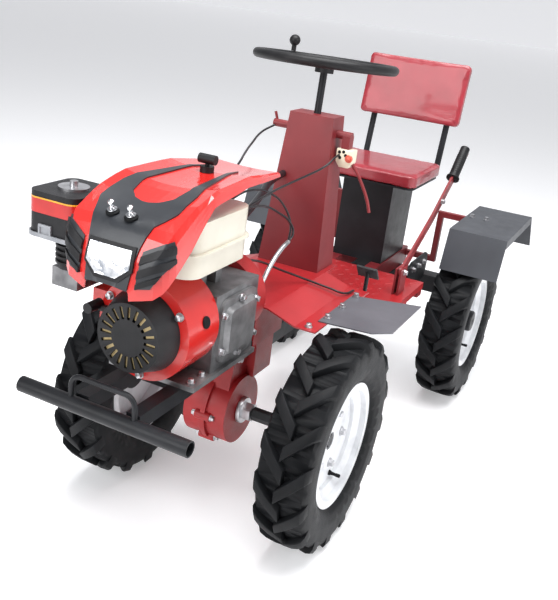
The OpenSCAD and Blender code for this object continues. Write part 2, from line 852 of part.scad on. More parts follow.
// Tapered sheet column that carries the steering shaft
module column() {
    color("firebrick") difference() {
        column_box(0, column_base_z, column_top_z);
        column_box(column_wall, column_base_z - column_wall, column_top_z - column_wall);
        along_shaft() translate([0, 0, -2 * shaft_below]) cylinder(r = steering_shaft_r + fit, h = 4 * shaft_below);
        translate([shaft_top_x, 0, control_z]) crosswise()
            cylinder(r = control_r + fit, h = 4 * column_foot_half_w, center = true);
    }
}

// Steering axis, with the column top as its origin
module along_shaft() {
    translate([shaft_top_x, 0, column_top_z]) rotate([0, -column_lean, 0]) children();
}

module steering_shaft() {
    color("silver") along_shaft() translate([0, 0, -column_wall - bush_t]) {
        cylinder(r = steering_shaft_r, h = steering_rise + column_wall + bush_t);
        translate([0, 0, -fit - bush_r * sin(column_lean)]) cylinder(r = bush_r, h = bush_t);
    }
}

// Steering wheel with its hub, three spokes and the spinner knob
spoke_w = 24;
spoke_t = 6;
spoke_angles = [90, 210, 330];
spinner_angle = 234;
spinner_r = 16;
spinner_neck_r = 7;
spinner_neck_h = 22;
steering_hub_r = 26;
steering_hub_h = 30;
module steering_wheel() {
    color("black") along_shaft() translate([0, 0, steering_rise]) {
        rotate_extrude() translate([steering_r, 0]) circle(r = steering_tube_r);
        difference() {
            translate([0, 0, -steering_hub_h]) cylinder(r = steering_hub_r, h = steering_hub_h);
            translate([0, 0, -steering_hub_h - over]) cylinder(r = steering_shaft_r + fit, h = steering_hub_h + over + fit);
        }
        for (a = spoke_angles) {
            rotate([0, 0, a]) translate([steering_hub_r - spoke_t, -spoke_w / 2, -spoke_t])
                cube([steering_r - steering_hub_r + spoke_t, spoke_w, spoke_t]);
        }
        rotate([0, 0, spinner_angle]) translate([steering_r, 0, steering_tube_r + fit]) {
            cylinder(r = spinner_neck_r, h = spinner_neck_h);
            translate([0, 0, spinner_neck_h + spinner_r / 2]) sphere(r = spinner_r);
        }
    }
}

// Cross tube of the hand controls with a lever at each end
module hand_controls() {
    color("firebrick") translate([shaft_top_x, 0, control_z]) {
        for (side = [-1, 1]) {
            reach = side > 0 ? control_reach[0] : control_reach[1];
            translate([0, side * reach / 2 + side * column_foot_half_w / 4, 0]) crosswise()
                cylinder(r = control_r, h = reach - column_foot_half_w / 2, center = true);
        }
        translate([-lever_block_l / 2, control_reach[0] - lever_block_w, -lever_block_h])
            cube([lever_block_l, lever_block_w, lever_block_h]);
        translate([0, control_reach[0] - lever_block_w / 2, -lever_block_h]) rotate([210, 0, 0])
            cylinder(r = brake_lever_r, h = brake_lever_l);
        translate([0, -control_reach[1] + control_r, 0]) rotate([20, 0, 0])
            cylinder(r = brake_lever_r, h = hand_lever_l / 2);
    }
}

// Curved gear lever with its ball boss on the apron
module gear_lever() {
    color("silver") translate([gear_foot_x, gear_y, column_base_z]) {
        cylinder(r = gear_boss_r, h = gear_boss_h);
        translate([0, 0, gear_boss_h - over]) rotate([0, -gear_tilt, 0]) translate([-gear_bend_r, 0, 0])
            rotate([90, 0, 0]) rotate_extrude(angle = gear_sweep) translate([gear_bend_r, 0]) circle(r = gear_rod_r);
    }
}

// Foot pedal on its arm at the rear edge of the apron
module pedal() {
    rear = apron_front_x - apron_l;
    color("black") {
        translate([pedal_x, pedal_y, pedal_z]) rotate([0, pedal_tilt, 0])
            cube([pedal_t, pedal_w, pedal_l], center = true);
        translate([pedal_x, pedal_y, pedal_arm_z]) cylinder(r = pedal_arm_r, h = pedal_z - pedal_arm_z);
        translate([pedal_x, pedal_y, pedal_arm_z + pedal_arm_r]) lengthwise()
            cylinder(r = pedal_arm_r, h = rear - pedal_x + 2 * sheet_t);
        translate([rear, pedal_y - pedal_arm_r, pedal_arm_z]) cube([2 * sheet_t, 2 * pedal_arm_r, apron_z - sheet_t - pedal_arm_z]);
    }
}

// Drawbar from the gear case back to the welded kingpin
module drawbar() {
    front = neck_top_x[0] - drawbar_flange_t;
    pin_low = drawbar_z - drawbar_h / 2 - ear_gap - ear_t;
    pin_h = drawbar_h + 2 * (ear_gap + ear_t);
    color("black") {
        translate([-pivot_x, -drawbar_w / 2, drawbar_z - drawbar_h / 2]) cube([pivot_x + front, drawbar_w, drawbar_h]);
        translate([-pivot_x, 0, drawbar_z]) cylinder(r = boss_r, h = drawbar_h, center = true);
        translate([-pivot_x, 0, pin_low - fit]) cylinder(r = kingpin_r, h = pin_h + 2 * fit);
        translate([-pivot_x, 0, pin_low + pin_h + fit]) cylinder(r = pin_head_r, h = pin_head_t);
        translate([-pivot_x, 0, pin_low - fit - pin_head_t]) cylinder(r = pin_head_r, h = pin_head_t);
    }
}

// Rear frame: yoke with two ears, front plate, rails and cross tubes
module rear_frame() {
    top = floor_z - floor_t;
    low_ear = drawbar_z - drawbar_h / 2 - ear_gap - ear_t;
    color("firebrick") {
        for (z = [low_ear, drawbar_z + drawbar_h / 2 + ear_gap]) {
            translate([-pivot_x, 0, z]) difference() {
                union() {
                    cylinder(r = ear_r, h = ear_t);
                    translate([pivot_x - yoke_x - yoke_t, -ear_r, 0]) cube([yoke_x + yoke_t - pivot_x, 2 * ear_r, ear_t]);
                }
                translate([0, 0, -over]) cylinder(r = kingpin_r + fit, h = ear_t + 2 * over);
            }
        }
        translate([-yoke_x - yoke_t, -yoke_half_w, low_ear]) cube([yoke_t, 2 * yoke_half_w, top - low_ear]);
        translate([-yoke_x - yoke_t - cross_w, -rail_y - rail_w / 2, top - rail_h])
            cube([cross_w, 2 * rail_y + rail_w, rail_h]);
        both_sides() translate([-rail_rear_x, rail_y - rail_w / 2, top - rail_h])
            cube([rail_rear_x - rail_front_x, rail_w, rail_h]);
        translate([-rail_rear_x, -rail_y, top - rail_h]) cube([cross_w, 2 * rail_y, rail_h]);
        for (x = [floor_front_x + floor_l / 2, floor_front_x + floor_l - cross_w]) {
            translate([-x - cross_w, -floor_half_w + over, top - cross_w]) cube([cross_w, 2 * floor_half_w - 2 * over, cross_w]);
        }
    }
}

// Tread plate floor with turned-down sides
module floor_plate() {
    rear = floor_front_x + floor_l;
    cut = floor_front_x + floor_cut_x;
    color("firebrick") {
        translate([0, 0, floor_z - floor_t]) linear_extrude(height = floor_t) polygon([
            [-floor_front_x, floor_half_w - floor_cut_y], [-cut, floor_half_w], [-rear, floor_half_w],
            [-rear, -floor_half_w], [-cut, -floor_half_w], [-floor_front_x, -floor_half_w + floor_cut_y]]);
        both_sides() translate([-rear, floor_half_w - floor_t + over, floor_z - floor_flange])
            cube([floor_l - floor_cut_x, floor_t - over, floor_flange]);
    }
}

// Seat pedestal with the seat pan on top
module seat_frame() {
    foot = floor_z - floor_t;
    pan_l = seat_l - 2 * pan_inset;
    color("black") {
        difference() {
            translate([-pedestal_x[1], -pedestal_half_w, foot])
                cube([pedestal_x[1] - pedestal_x[0], 2 * pedestal_half_w, seat_z - pan_t - foot]);
            translate([-pedestal_x[1] + pedestal_t, -pedestal_half_w + pedestal_t, foot - over])
                cube([pedestal_x[1] - pedestal_x[0] - 2 * pedestal_t, 2 * (pedestal_half_w - pedestal_t),
                    seat_z - pan_t - foot - pedestal_t + over]);
        }
        translate([-seat_front_x - pan_inset - pan_l / 2, 0, seat_z - pan_t]) linear_extrude(height = pan_t)
            round_rect(pan_l, seat_w - 2 * pan_inset, cushion_corner);
    }
}

// Bent tube posts from under the pan up behind the backrest
module seat_posts() {
    post_z = seat_z - pan_t - post_r - fit;
    behind = back_t + post_r + fit;
    line_x = -back_x - behind * cos(back_lean);
    line_z = back_z - behind * sin(back_lean);
    bend_z = post_z + post_bend * (1 - sin(back_lean));
    bend_x = line_x + (line_z - bend_z) * tan(back_lean);
    centre_x = bend_x + post_bend * cos(back_lean);
    top_z = back_z + back_h * post_top_share * cos(back_lean);
    top_x = line_x - (top_z - line_z) * tan(back_lean);
    route = concat([[-post_front_x, post_y, post_z]],
        bend_points([centre_x, post_z + post_bend], post_y, post_bend, 270, 180 + back_lean, post_bend_n),
        [[top_x, post_y, top_z]]);
    color("black") both_sides() rod(route, post_r, post_sides);
}

// Seat cushion, a plain pad on the pan
module seat_cushion() {
    color("brown") translate([-seat_front_x - seat_l / 2, 0, seat_z + fit]) linear_extrude(height = seat_t)
        round_rect(seat_l, seat_w, cushion_corner);
}

// Backrest pad in front of the posts
module backrest() {
    color("brown") translate([-back_x, 0, back_z]) rotate([0, -back_lean, 0]) translate([-back_t, 0, back_h / 2])
        lengthwise() linear_extrude(height = back_t) round_rect(back_h, seat_w, back_corner);
}

// Square rear beam under the rails
module rear_beam() {
    top = floor_z - floor_t - rail_h;
    color("black") translate([-wheelbase - beam_s / 2, -drop_y, top - beam_s]) cube([beam_s, 2 * drop_y, beam_s]);
}

// Drop plates at the ends of the beam, with the stub axles of the rear wheels
module axle_drops() {
    top = floor_z - floor_t - rail_h;
    color("black") both_sides() {
        translate([-wheelbase - drop_l / 2, drop_y, tyre_r - drop_below])
            cube([drop_l, drop_t, top - tyre_r + drop_below]);
        translate([-wheelbase, drop_y, tyre_r]) crosswise() cylinder(r = stub_r, h = stub_end_y - drop_y);
    }
}

// Folded rear fenders with a lip on the outer side
module rear_fenders() {
    rear_x = fender_front_x - rear_fender_top_l;
    low = rear_fender_z - fender_drop;
    line = [[fender_front_x + fender_flap_shares[0] * rear_fender_top_l, low], [fender_front_x, rear_fender_z],
        [rear_x, rear_fender_z], [rear_x - fender_flap_shares[1] * rear_fender_top_l, low]];
    color("dimgray") both_sides() translate([0, rear_fender_in_y + rear_fender_w / 2, 0]) {
        side_profile(rear_fender_w) polygon(strip(line, rear_fender_t));
        translate([0, rear_fender_w / 2 - rear_fender_t / 2, 0]) side_profile(rear_fender_t)
            polygon(strip([line[1], line[2]], rear_fender_lip));
    }
}

// Square tube brackets from the rails up to the rear fenders
module fender_brackets() {
    top_z = rear_fender_z - rear_fender_t;
    color("firebrick") both_sides() translate([-bracket_x - bracket_s / 2, 0, 0]) {
        translate([0, rail_y + rail_w / 2, bracket_z - bracket_s / 2])
            cube([bracket_s, bracket_y - rail_y - rail_w / 2, bracket_s]);
        translate([0, bracket_y - bracket_s, bracket_z - bracket_s / 2])
            cube([bracket_s, bracket_s, top_z - bracket_z + bracket_s / 2]);
        translate([0, bracket_y - bracket_s, top_z - bracket_s])
            cube([bracket_s, rear_fender_in_y + rear_fender_w / 2 - bracket_y + bracket_s, bracket_s]);
    }
}

// Lift lever: flat bent bar with a round grip
module lift_lever() {
    last = lift_line[len(lift_line) - 1];
    dir = grip_end - last;
    color("firebrick") {
        translate([0, lift_y, 0]) side_profile(lift_t) difference() {
            union() {
                polygon(strip(lift_line, lift_w));
                translate(lift_pivot) circle(r = lift_w / 2 + over);
            }
            translate(lift_pivot) circle(r = lift_bolt_r + fit);
        }
        translate([last[0], lift_y, last[1] - lift_w / 2]) rotate([0, -90 + atan2(dir[1], -dir[0]), 0])
            cylinder(r = grip_r, h = norm(dir));
    }
}

// Ears on the floor that hold the lift lever on its bolt
module lift_bracket() {
    color("firebrick") translate([lift_pivot[0], lift_y, 0]) {
        for (side = [-1, 1]) {
            translate([-lift_ear_l / 2, side * (lift_t / 2 + lift_ear_t / 2 + fit) - lift_ear_t / 2, floor_z])
                cube([lift_ear_l, lift_ear_t, lift_pivot[1] + lift_w / 2 - floor_z]);
        }
        translate([0, 0, lift_pivot[1]]) crosswise() cylinder(r = lift_bolt_r, h = lift_t + 4 * lift_ear_t, center = true);
    }
}

// Hitch clevis behind the rear beam
module hitch() {
    top = floor_z - floor_t - rail_h;
    mid = top - beam_s / 2;
    front = wheelbase + beam_s / 2;
    color("black") {
        for (z = [mid - hitch_gap / 2 - hitch_t, mid + hitch_gap / 2]) {
            translate([-hitch_x, 0, z]) difference() {
                union() {
                    cylinder(r = hitch_r, h = hitch_t);
                    translate([0, -hitch_r, 0]) cube([hitch_x - front, 2 * hitch_r, hitch_t]);
                }
                translate([0, 0, -over]) cylinder(r = hitch_bore_r, h = hitch_t + 2 * over);
            }
        }
        translate([-front - hitch_t, -hitch_r, mid - hitch_gap / 2 - hitch_t])
            cube([hitch_t, 2 * hitch_r, hitch_gap + 2 * hitch_t]);
    }
}

placed() gearcase();
placed() engine_block();
placed() fan_shroud();
placed() recoil_cover();
placed() fuel_tank();
placed() air_cleaner();
placed() air_cleaner_cap();
placed() muffler();
placed() hood_shell();
placed() hood_panel();
placed() headlight();
placed() hood_vents();
placed() hood_knob();
placed() engine_bearers();
placed() bumper();
placed() apron();
placed() front_fenders();
placed() column();
placed() hand_controls();
placed() gear_lever();
placed() pedal();
placed() drawbar();
placed() rear_frame();
placed() floor_plate();
placed() seat_frame();
placed() seat_posts();
placed() seat_cushion();
placed() backrest();
placed() rear_beam();
placed() axle_drops();
placed() rear_fenders();
placed() fender_brackets();
placed() lift_lever();
placed() lift_bracket();
placed() hitch();
placed() at_wheel(0, front_track, 1) tyre();  // tyre_fl
placed() at_wheel(0, front_track, -1) tyre();  // tyre_fr
placed() at_wheel(-wheelbase, rear_track, 1) tyre();  // tyre_rl
placed() at_wheel(-wheelbase, rear_track, -1) tyre();  // tyre_rr
placed() at_wheel(0, front_track, 1) front_rim();  // rim_fl
placed() at_wheel(0, front_track, -1) front_rim();  // rim_fr
placed() at_wheel(-wheelbase, rear_track, 1) rear_rim();  // rim_rl
placed() at_wheel(-wheelbase, rear_track, -1) rear_rim();  // rim_rr
placed() at_wheel(0, front_track, 1) front_shaft(1);  // shaft_fl
placed() at_wheel(0, front_track, -1) front_shaft(-1);  // shaft_fr
placed() steering_wheel();
placed() steering_shaft();
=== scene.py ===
import json
import math

import bmesh
import bpy
from mathutils import Matrix, Vector


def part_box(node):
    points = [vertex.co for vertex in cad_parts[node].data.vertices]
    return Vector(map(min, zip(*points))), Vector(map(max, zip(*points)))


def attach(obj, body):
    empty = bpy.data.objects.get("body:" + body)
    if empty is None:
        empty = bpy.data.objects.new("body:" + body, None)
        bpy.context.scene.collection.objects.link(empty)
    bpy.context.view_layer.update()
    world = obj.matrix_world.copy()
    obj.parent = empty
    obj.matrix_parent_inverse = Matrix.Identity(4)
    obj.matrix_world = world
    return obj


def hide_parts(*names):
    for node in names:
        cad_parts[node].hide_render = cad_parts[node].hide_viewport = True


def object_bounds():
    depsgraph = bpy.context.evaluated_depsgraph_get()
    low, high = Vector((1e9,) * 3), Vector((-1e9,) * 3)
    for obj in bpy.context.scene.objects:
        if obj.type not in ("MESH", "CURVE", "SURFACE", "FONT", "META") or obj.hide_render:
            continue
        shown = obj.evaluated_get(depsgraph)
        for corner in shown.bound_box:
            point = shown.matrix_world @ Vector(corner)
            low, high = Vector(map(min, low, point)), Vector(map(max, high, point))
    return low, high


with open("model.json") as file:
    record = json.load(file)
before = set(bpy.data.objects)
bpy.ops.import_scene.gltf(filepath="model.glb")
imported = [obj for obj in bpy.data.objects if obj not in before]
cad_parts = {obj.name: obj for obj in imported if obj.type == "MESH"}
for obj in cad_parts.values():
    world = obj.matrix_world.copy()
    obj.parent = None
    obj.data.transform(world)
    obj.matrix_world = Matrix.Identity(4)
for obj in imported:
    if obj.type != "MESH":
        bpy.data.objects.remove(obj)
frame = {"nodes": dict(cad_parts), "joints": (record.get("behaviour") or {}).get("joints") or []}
cad_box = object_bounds()
nodes = frame["nodes"]
bpy.ops.object.select_all(action="DESELECT")

# The studio: a wide pale floor that the machine stands on and a wall far behind it, with a large soft light
# overhead, weaker ones at its front and left side, and a pale surround.
floor_size = 60.0
floor_colour = (0.86, 0.86, 0.87)
floor_glow = 0.35
wall_x = -28.0
bpy.ops.mesh.primitive_plane_add(size=floor_size, location=(0, 0, cad_box[0][2]))
floor = bpy.context.object
floor.name = "studio_floor"
floor_paint = bpy.data.materials.new("studio_floor_paint")
floor_paint.use_nodes = True
floor_shader = floor_paint.node_tree.nodes["Principled BSDF"]
floor_shader.inputs["Base Color"].default_value = (*floor_colour, 1)
floor_shader.inputs["Roughness"].default_value = 0.8
floor_shader.inputs["Emission Color"].default_value = (*floor_colour, 1)
floor_shader.inputs["Emission Strength"].default_value = floor_glow
floor.data.materials.append(floor_paint)
bpy.ops.mesh.primitive_plane_add(size=floor_size, location=(wall_x, 0, 0), rotation=(0, math.radians(90), 0))
back_wall = bpy.context.object
back_wall.name = "studio_wall"
back_wall.data.materials.append(floor_paint)

surround = bpy.data.worlds.new("studio_surround")
surround.use_nodes = True
surround.node_tree.nodes["Background"].inputs["Color"].default_value = (0.93, 0.95, 1.0, 1)
surround.node_tree.nodes["Background"].inputs["Strength"].default_value = 0.36
bpy.context.scene.world = surround
bpy.context.scene.view_settings.view_transform = "Standard"


def soft_box(name, place, target, size, power):
    """A square studio light that faces a point of the machine."""
    bpy.ops.object.light_add(type="AREA", location=place)
    light = bpy.context.object
    light.name = name
    light.data.size = size
    light.data.energy = power
    light.rotation_euler = (Vector(target) - Vector(place)).to_track_quat("-Z", "Y").to_euler()


soft_box("light_overhead", (0.6, 0.4, 4.2), (0, 0, 0.5), 3.2, 300)
soft_box("light_front", (4.0, -1.2, 2.2), (0.3, 0, 0.6), 2.4, 90)
soft_box("light_left", (0.4, 4.2, 2.0), (0, 0, 0.6), 2.4, 70)

# The camera stands before the machine's left front corner, at head height, and is tipped a little to
# one side. Its place is given from the ground under the middle of the front axle.
eye_from_axle = Vector((1.82082, 0.92361, 1.39065))
eye_yaw = math.radians(206.43)
eye_pitch = math.radians(-21.03)
eye_roll = math.radians(6.33)
focal_px = 842.38
centre_px = (243.05, 295.73)
frame_px = (558, 600)
front_axle = Vector(next(j for j in frame["joints"] if j["name"] == "wheel_fl_spin")["pos_m"])
view_dir = Vector((math.cos(eye_yaw) * math.cos(eye_pitch), math.sin(eye_yaw) * math.cos(eye_pitch),
                   math.sin(eye_pitch)))
level_right = view_dir.cross(Vector((0, 0, 1))).normalized()
level_up = level_right.cross(view_dir)
right = math.cos(eye_roll) * level_right + math.sin(eye_roll) * level_up
up = math.cos(eye_roll) * level_up - math.sin(eye_roll) * level_right
eye = eye_from_axle + Vector((front_axle.x, 0, 0))
bpy.ops.object.camera_add()
camera = bpy.context.object
camera.name = "photo_camera"
camera.matrix_world = Matrix(((right.x, up.x, -view_dir.x, eye.x), (right.y, up.y, -view_dir.y, eye.y),
                              (right.z, up.z, -view_dir.z, eye.z), (0, 0, 0, 1)))
camera.data.sensor_fit = "VERTICAL"
camera.data.lens = focal_px / frame_px[1] * camera.data.sensor_height
camera.data.shift_x = (frame_px[0] / 2 - centre_px[0]) / frame_px[1]
camera.data.shift_y = (centre_px[1] - frame_px[1] / 2) / frame_px[1]
camera.data.clip_end = 200
bpy.context.scene.camera = camera


# Lugged tyres, moulded in black rubber. The carcass is duller where it has picked up dust, and its gloss
# varies in patches.
def finish(name, colour, rough, metal=0.0, coat=0.0, shine=0.5):
    """A new finish with an even colour, which the patterns below then vary."""
    made = bpy.data.materials.new(name)
    made.use_nodes = True
    shader = made.node_tree.nodes["Principled BSDF"]
    shader.inputs["Base Color"].default_value = (*colour, 1)
    shader.inputs["Roughness"].default_value = rough
    shader.inputs["Metallic"].default_value = metal
    shader.inputs["Specular IOR Level"].default_value = shine
    shader.inputs["Coat Weight"].default_value = coat
    shader.inputs["Coat Roughness"].default_value = 0.08
    return made


def pattern(made, kind, scale, detail=3.0):
    """A texture of the finish, fixed to the piece, with its scale in waves per metre."""
    tree = made.node_tree
    place = tree.nodes.get("Texture Coordinate") or tree.nodes.new("ShaderNodeTexCoord")
    texture = tree.nodes.new(kind)
    tree.links.new(place.outputs["Object"], texture.inputs["Vector"])
    texture.inputs["Scale"].default_value = scale
    if "Detail" in texture.inputs:
        texture.inputs["Detail"].default_value = detail
    return texture


def texture_value(texture):
    """The grey output of a texture."""
    return texture.outputs["Fac"] if "Fac" in texture.outputs else texture.outputs["Distance"]


def shades(made, texture, low, dark, high, light):
    """Colours the finish from dark to light as the texture goes from low to high."""
    tree = made.node_tree
    ramp = tree.nodes.new("ShaderNodeValToRGB")
    ramp.color_ramp.elements[0].position = low
    ramp.color_ramp.elements[0].color = (*dark, 1)
    ramp.color_ramp.elements[1].position = high
    ramp.color_ramp.elements[1].color = (*light, 1)
    tree.links.new(texture_value(texture), ramp.inputs["Fac"])
    tree.links.new(ramp.outputs["Color"], tree.nodes["Principled BSDF"].inputs["Base Color"])


def clouds(made, scale, detail, dark, light):
    """Colours the finish in soft clouds between two shades."""
    shades(made, pattern(made, "ShaderNodeTexNoise", scale, detail), 0.3, dark, 0.7, light)


def gloss(made, texture, smooth, dull):
    """Varies the roughness of the finish between two values."""
    tree = made.node_tree
    span = tree.nodes.new("ShaderNodeMapRange")
    span.inputs["To Min"].default_value = smooth
    span.inputs["To Max"].default_value = dull
    tree.links.new(texture_value(texture), span.inputs["Value"])
    tree.links.new(span.outputs["Result"], tree.nodes["Principled BSDF"].inputs["Roughness"])


def relief(made, texture, depth, strength=1.0):
    """Raises the finish by the texture, with its depth in metres."""
    tree = made.node_tree
    bump = tree.nodes.new("ShaderNodeBump")
    bump.inputs["Distance"].default_value = depth
    bump.inputs["Strength"].default_value = strength
    tree.links.new(texture_value(texture), bump.inputs["Height"])
    under = tree.nodes["Principled BSDF"].inputs["Normal"]
    if under.links:
        tree.links.new(under.links[0].from_socket, bump.inputs["Normal"])
    tree.links.new(bump.outputs["Normal"], under)


def dress(made, *names):
    """Gives a finish to whole solids of the frame."""
    for name in names:
        nodes[name].data.materials.clear()
        nodes[name].data.materials.append(made)


rubber = finish("tyre_rubber", (0.01, 0.0105, 0.012), 0.6, shine=0.16)
rubber_dust = pattern(rubber, "ShaderNodeTexNoise", 9, 6)
shades(rubber, rubber_dust, 0.35, (0.0035, 0.0039, 0.0047), 0.75, (0.0095, 0.0102, 0.0118))
gloss(rubber, pattern(rubber, "ShaderNodeTexNoise", 22, 4), 0.42, 0.72)
relief(rubber, pattern(rubber, "ShaderNodeTexNoise", 900, 2), 0.0004, 0.5)
dress(rubber, "tyre_fl", "tyre_fr", "tyre_rl", "tyre_rr")


def place_piece(piece, body, made):
    """Finishes a single piece that was modelled in place."""
    piece.data.materials.clear()
    piece.data.materials.append(made)
    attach(piece, body)
    return piece


def select_only(pieces):
    """Selects some pieces alone and makes the first one active."""
    bpy.ops.object.select_all(action="DESELECT")
    for piece in pieces:
        piece.select_set(True)
    bpy.context.view_layer.objects.active = pieces[0]


def solid_copy(name, node):
    """A copy of a plain solid, selected, that is shaped further."""
    piece = bpy.data.objects.new(name, nodes[node].data.copy())
    bpy.context.collection.objects.link(piece)
    select_only([piece])
    return piece


def twin(piece):
    """A copy of a piece with a mesh of its own."""
    copy = piece.copy()
    copy.data = piece.data.copy()
    bpy.context.collection.objects.link(copy)
    return copy


def joined(name, pieces):
    """Pieces that were set out, as one piece in place."""
    select_only(pieces)
    bpy.ops.object.transform_apply(location=True, rotation=True, scale=True)
    if len(pieces) > 1:
        bpy.ops.object.join()
    pieces[0].name = name
    return pieces[0]


merge_gap = 0.00001
crease_angle = math.radians(35)


def outward_faces():
    """Merges doubled points and turns all faces outwards, in edit mode."""
    bpy.ops.mesh.select_all(action="SELECT")
    bpy.ops.mesh.remove_doubles(threshold=merge_gap)
    bpy.ops.mesh.normals_make_consistent(inside=False)


# Lugs of the tyres: two rows of leaning bars that meet in turn at the middle of the tread and run down the
# shoulders. The bar is drawn out flat from its nose, laid round the tyre and then copied round.
lug_count, lug_wide, nose_past = 16, 41.7, 7
lug_phase = 5.0
lug_lean = math.tan(math.radians(46))
lug_top_share, lug_foot_share = 0.84, 1.08
lug_ring_r = 0.2775
lug_stations = [(-nose_past, 287.3, 258), (27, 287.3, 258), (47, 285.6, 256), (61.5, 281, 250),
                (68.2, 268, 240)]
bpy.ops.object.select_all(action="DESELECT")
bpy.ops.mesh.primitive_plane_add(size=1, location=(0, -nose_past / 1000, 0), rotation=(math.pi / 2, 0, 0))
lug = bpy.context.object
lug.name = "lug"
bpy.ops.object.transform_apply(location=True, rotation=True, scale=True)
bpy.ops.object.mode_set(mode="EDIT")
bpy.ops.mesh.select_all(action="SELECT")
bpy.ops.transform.resize(value=(1, 1, lug_wide / 1000))
for (last_y, _, _), (this_y, _, _) in zip(lug_stations, lug_stations[1:]):
    out = (this_y - last_y) / 1000
    bpy.ops.mesh.extrude_region_move(TRANSFORM_OT_translate={"value": (0, out, -lug_lean * out)})
bpy.ops.object.mode_set(mode="OBJECT")
for point in lug.data.vertices:
    across, top, foot = min(lug_stations, key=lambda s: abs(s[0] / 1000 - point.co.y))
    middle = -lug_lean * (across + nose_past) / 1000
    on_top = point.co.x > 0
    radius = (top if on_top else foot) / 1000
    turn = (middle + (point.co.z - middle) * (lug_top_share if on_top else lug_foot_share)) / lug_ring_r
    point.co = Vector((radius * math.cos(turn), point.co.y, -radius * math.sin(turn)))
bpy.ops.object.mode_set(mode="EDIT")
bpy.ops.mesh.select_all(action="SELECT")
bpy.ops.mesh.normals_make_consistent(inside=False)
bpy.ops.mesh.select_mode(type="EDGE")
bpy.ops.mesh.select_all(action="DESELECT")
bpy.ops.mesh.edges_select_sharp(sharpness=math.radians(40))
bpy.ops.mesh.bevel(offset=0.002, segments=2, clamp_overlap=True)
bpy.ops.object.mode_set(mode="OBJECT")

# Carcass of the tyre: the plain tyre with its tread drawn in under the lugs. The left front tyre is copied
# to the other wheels, and mirrored for those on the right.
carcass = solid_copy("carcass", "tyre_fl")
hubs = {j["name"][6:8]: Vector(j["pos_m"]) for j in frame["joints"] if j["name"].startswith("wheel_")}
wall_r, drawn_share = 0.228, 0.66
for point in carcass.data.vertices:
    arm = point.co - hubs["fl"]
    radius = math.hypot(arm.x, arm.z)
    if radius > wall_r:
        share = (wall_r + drawn_share * (radius - wall_r)) / radius
        point.co = hubs["fl"] + Vector((share * arm.x, arm.y, share * arm.z))
tyre_pieces = [carcass]
for i in range(lug_count):
    for side, phase in ((1, lug_phase), (-1, lug_phase + 180 / lug_count)):
        bar = twin(lug)
        turned_to = Matrix.Rotation(math.radians(phase + 360 * i / lug_count), 4, "Y")
        bar.matrix_world = Matrix.Translation(hubs["fl"]) @ turned_to @ Matrix.Diagonal((1, side, 1, 1))
        tyre_pieces.append(bar)
bpy.data.objects.remove(lug)
joined("carcass", tyre_pieces)
bpy.ops.object.mode_set(mode="EDIT")
outward_faces()
bpy.ops.object.mode_set(mode="OBJECT")
bpy.ops.object.shade_smooth_by_angle(angle=crease_angle)
for corner in ("fr", "rl", "rr", "fl"):
    tyre = carcass
    if corner != "fl":
        tyre = twin(carcass)
        flip = Matrix.Diagonal((1, -1 if corner[1] == "r" else 1, 1, 1))
        tyre.matrix_world = Matrix.Translation(hubs[corner]) @ flip @ Matrix.Translation(-hubs["fl"])
        select_only([tyre])
        bpy.ops.object.transform_apply(location=True, rotation=True, scale=True)
        bpy.ops.object.mode_set(mode="EDIT")
        outward_faces()
        bpy.ops.object.mode_set(mode="OBJECT")
    tyre.name = "lug_tyre_" + corner
    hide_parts("tyre_" + corner)
    place_piece(tyre, "wheel_" + corner, rubber)

# Pressed steel rims with a drop centre, stove enamelled in white, with a little grime.
rim_enamel = finish("rim_enamel", (0.72, 0.73, 0.75), 0.3, coat=0.3)
rim_grime = pattern(rim_enamel, "ShaderNodeTexNoise", 14, 6)
shades(rim_enamel, rim_grime, 0.28, (0.5, 0.51, 0.53), 0.55, (0.74, 0.75, 0.77))
gloss(rim_enamel, pattern(rim_enamel, "ShaderNodeTexNoise", 40, 3), 0.22, 0.42)
relief(rim_enamel, pattern(rim_enamel, "ShaderNodeTexNoise", 260, 2), 0.0003, 0.35)
dress(rim_enamel, "rim_fl", "rim_fr", "rim_rl", "rim_rr")

# Zinc plated steel: the bright fasteners, the gear lever and the cap of the air cleaner.
zinc = finish("zinc_plate", (0.55, 0.55, 0.56), 0.32, metal=1.0)
clouds(zinc, 60, 4, (0.4, 0.4, 0.41), (0.62, 0.62, 0.64))
gloss(zinc, pattern(zinc, "ShaderNodeTexNoise", 120, 3), 0.24, 0.46)
relief(zinc, pattern(zinc, "ShaderNodeTexNoise", 700, 2), 0.0002, 0.3)
dress(zinc, "gear_lever", "air_cleaner_cap")


# Wheel bolts: five hexagon bolts on washers hold each rim disc to its flange or hub.
def spot(x, y, z):
    """A place in metres, from millimetres ahead of the front axle, to the left and over the ground."""
    return Vector((front_axle.x + x / 1000, y / 1000, z / 1000))


def mark(piece, chosen):
    """Selects, in edit mode, the faces whose middle and normal pass a test."""
    bpy.ops.mesh.select_mode(type="FACE")
    bpy.ops.mesh.select_all(action="DESELECT")
    mesh = bmesh.from_edit_mesh(piece.data)
    for face in mesh.faces:
        face.select_set(chosen(face.calc_center_median(), face.normal))
    bmesh.update_edit_mesh(piece.data)


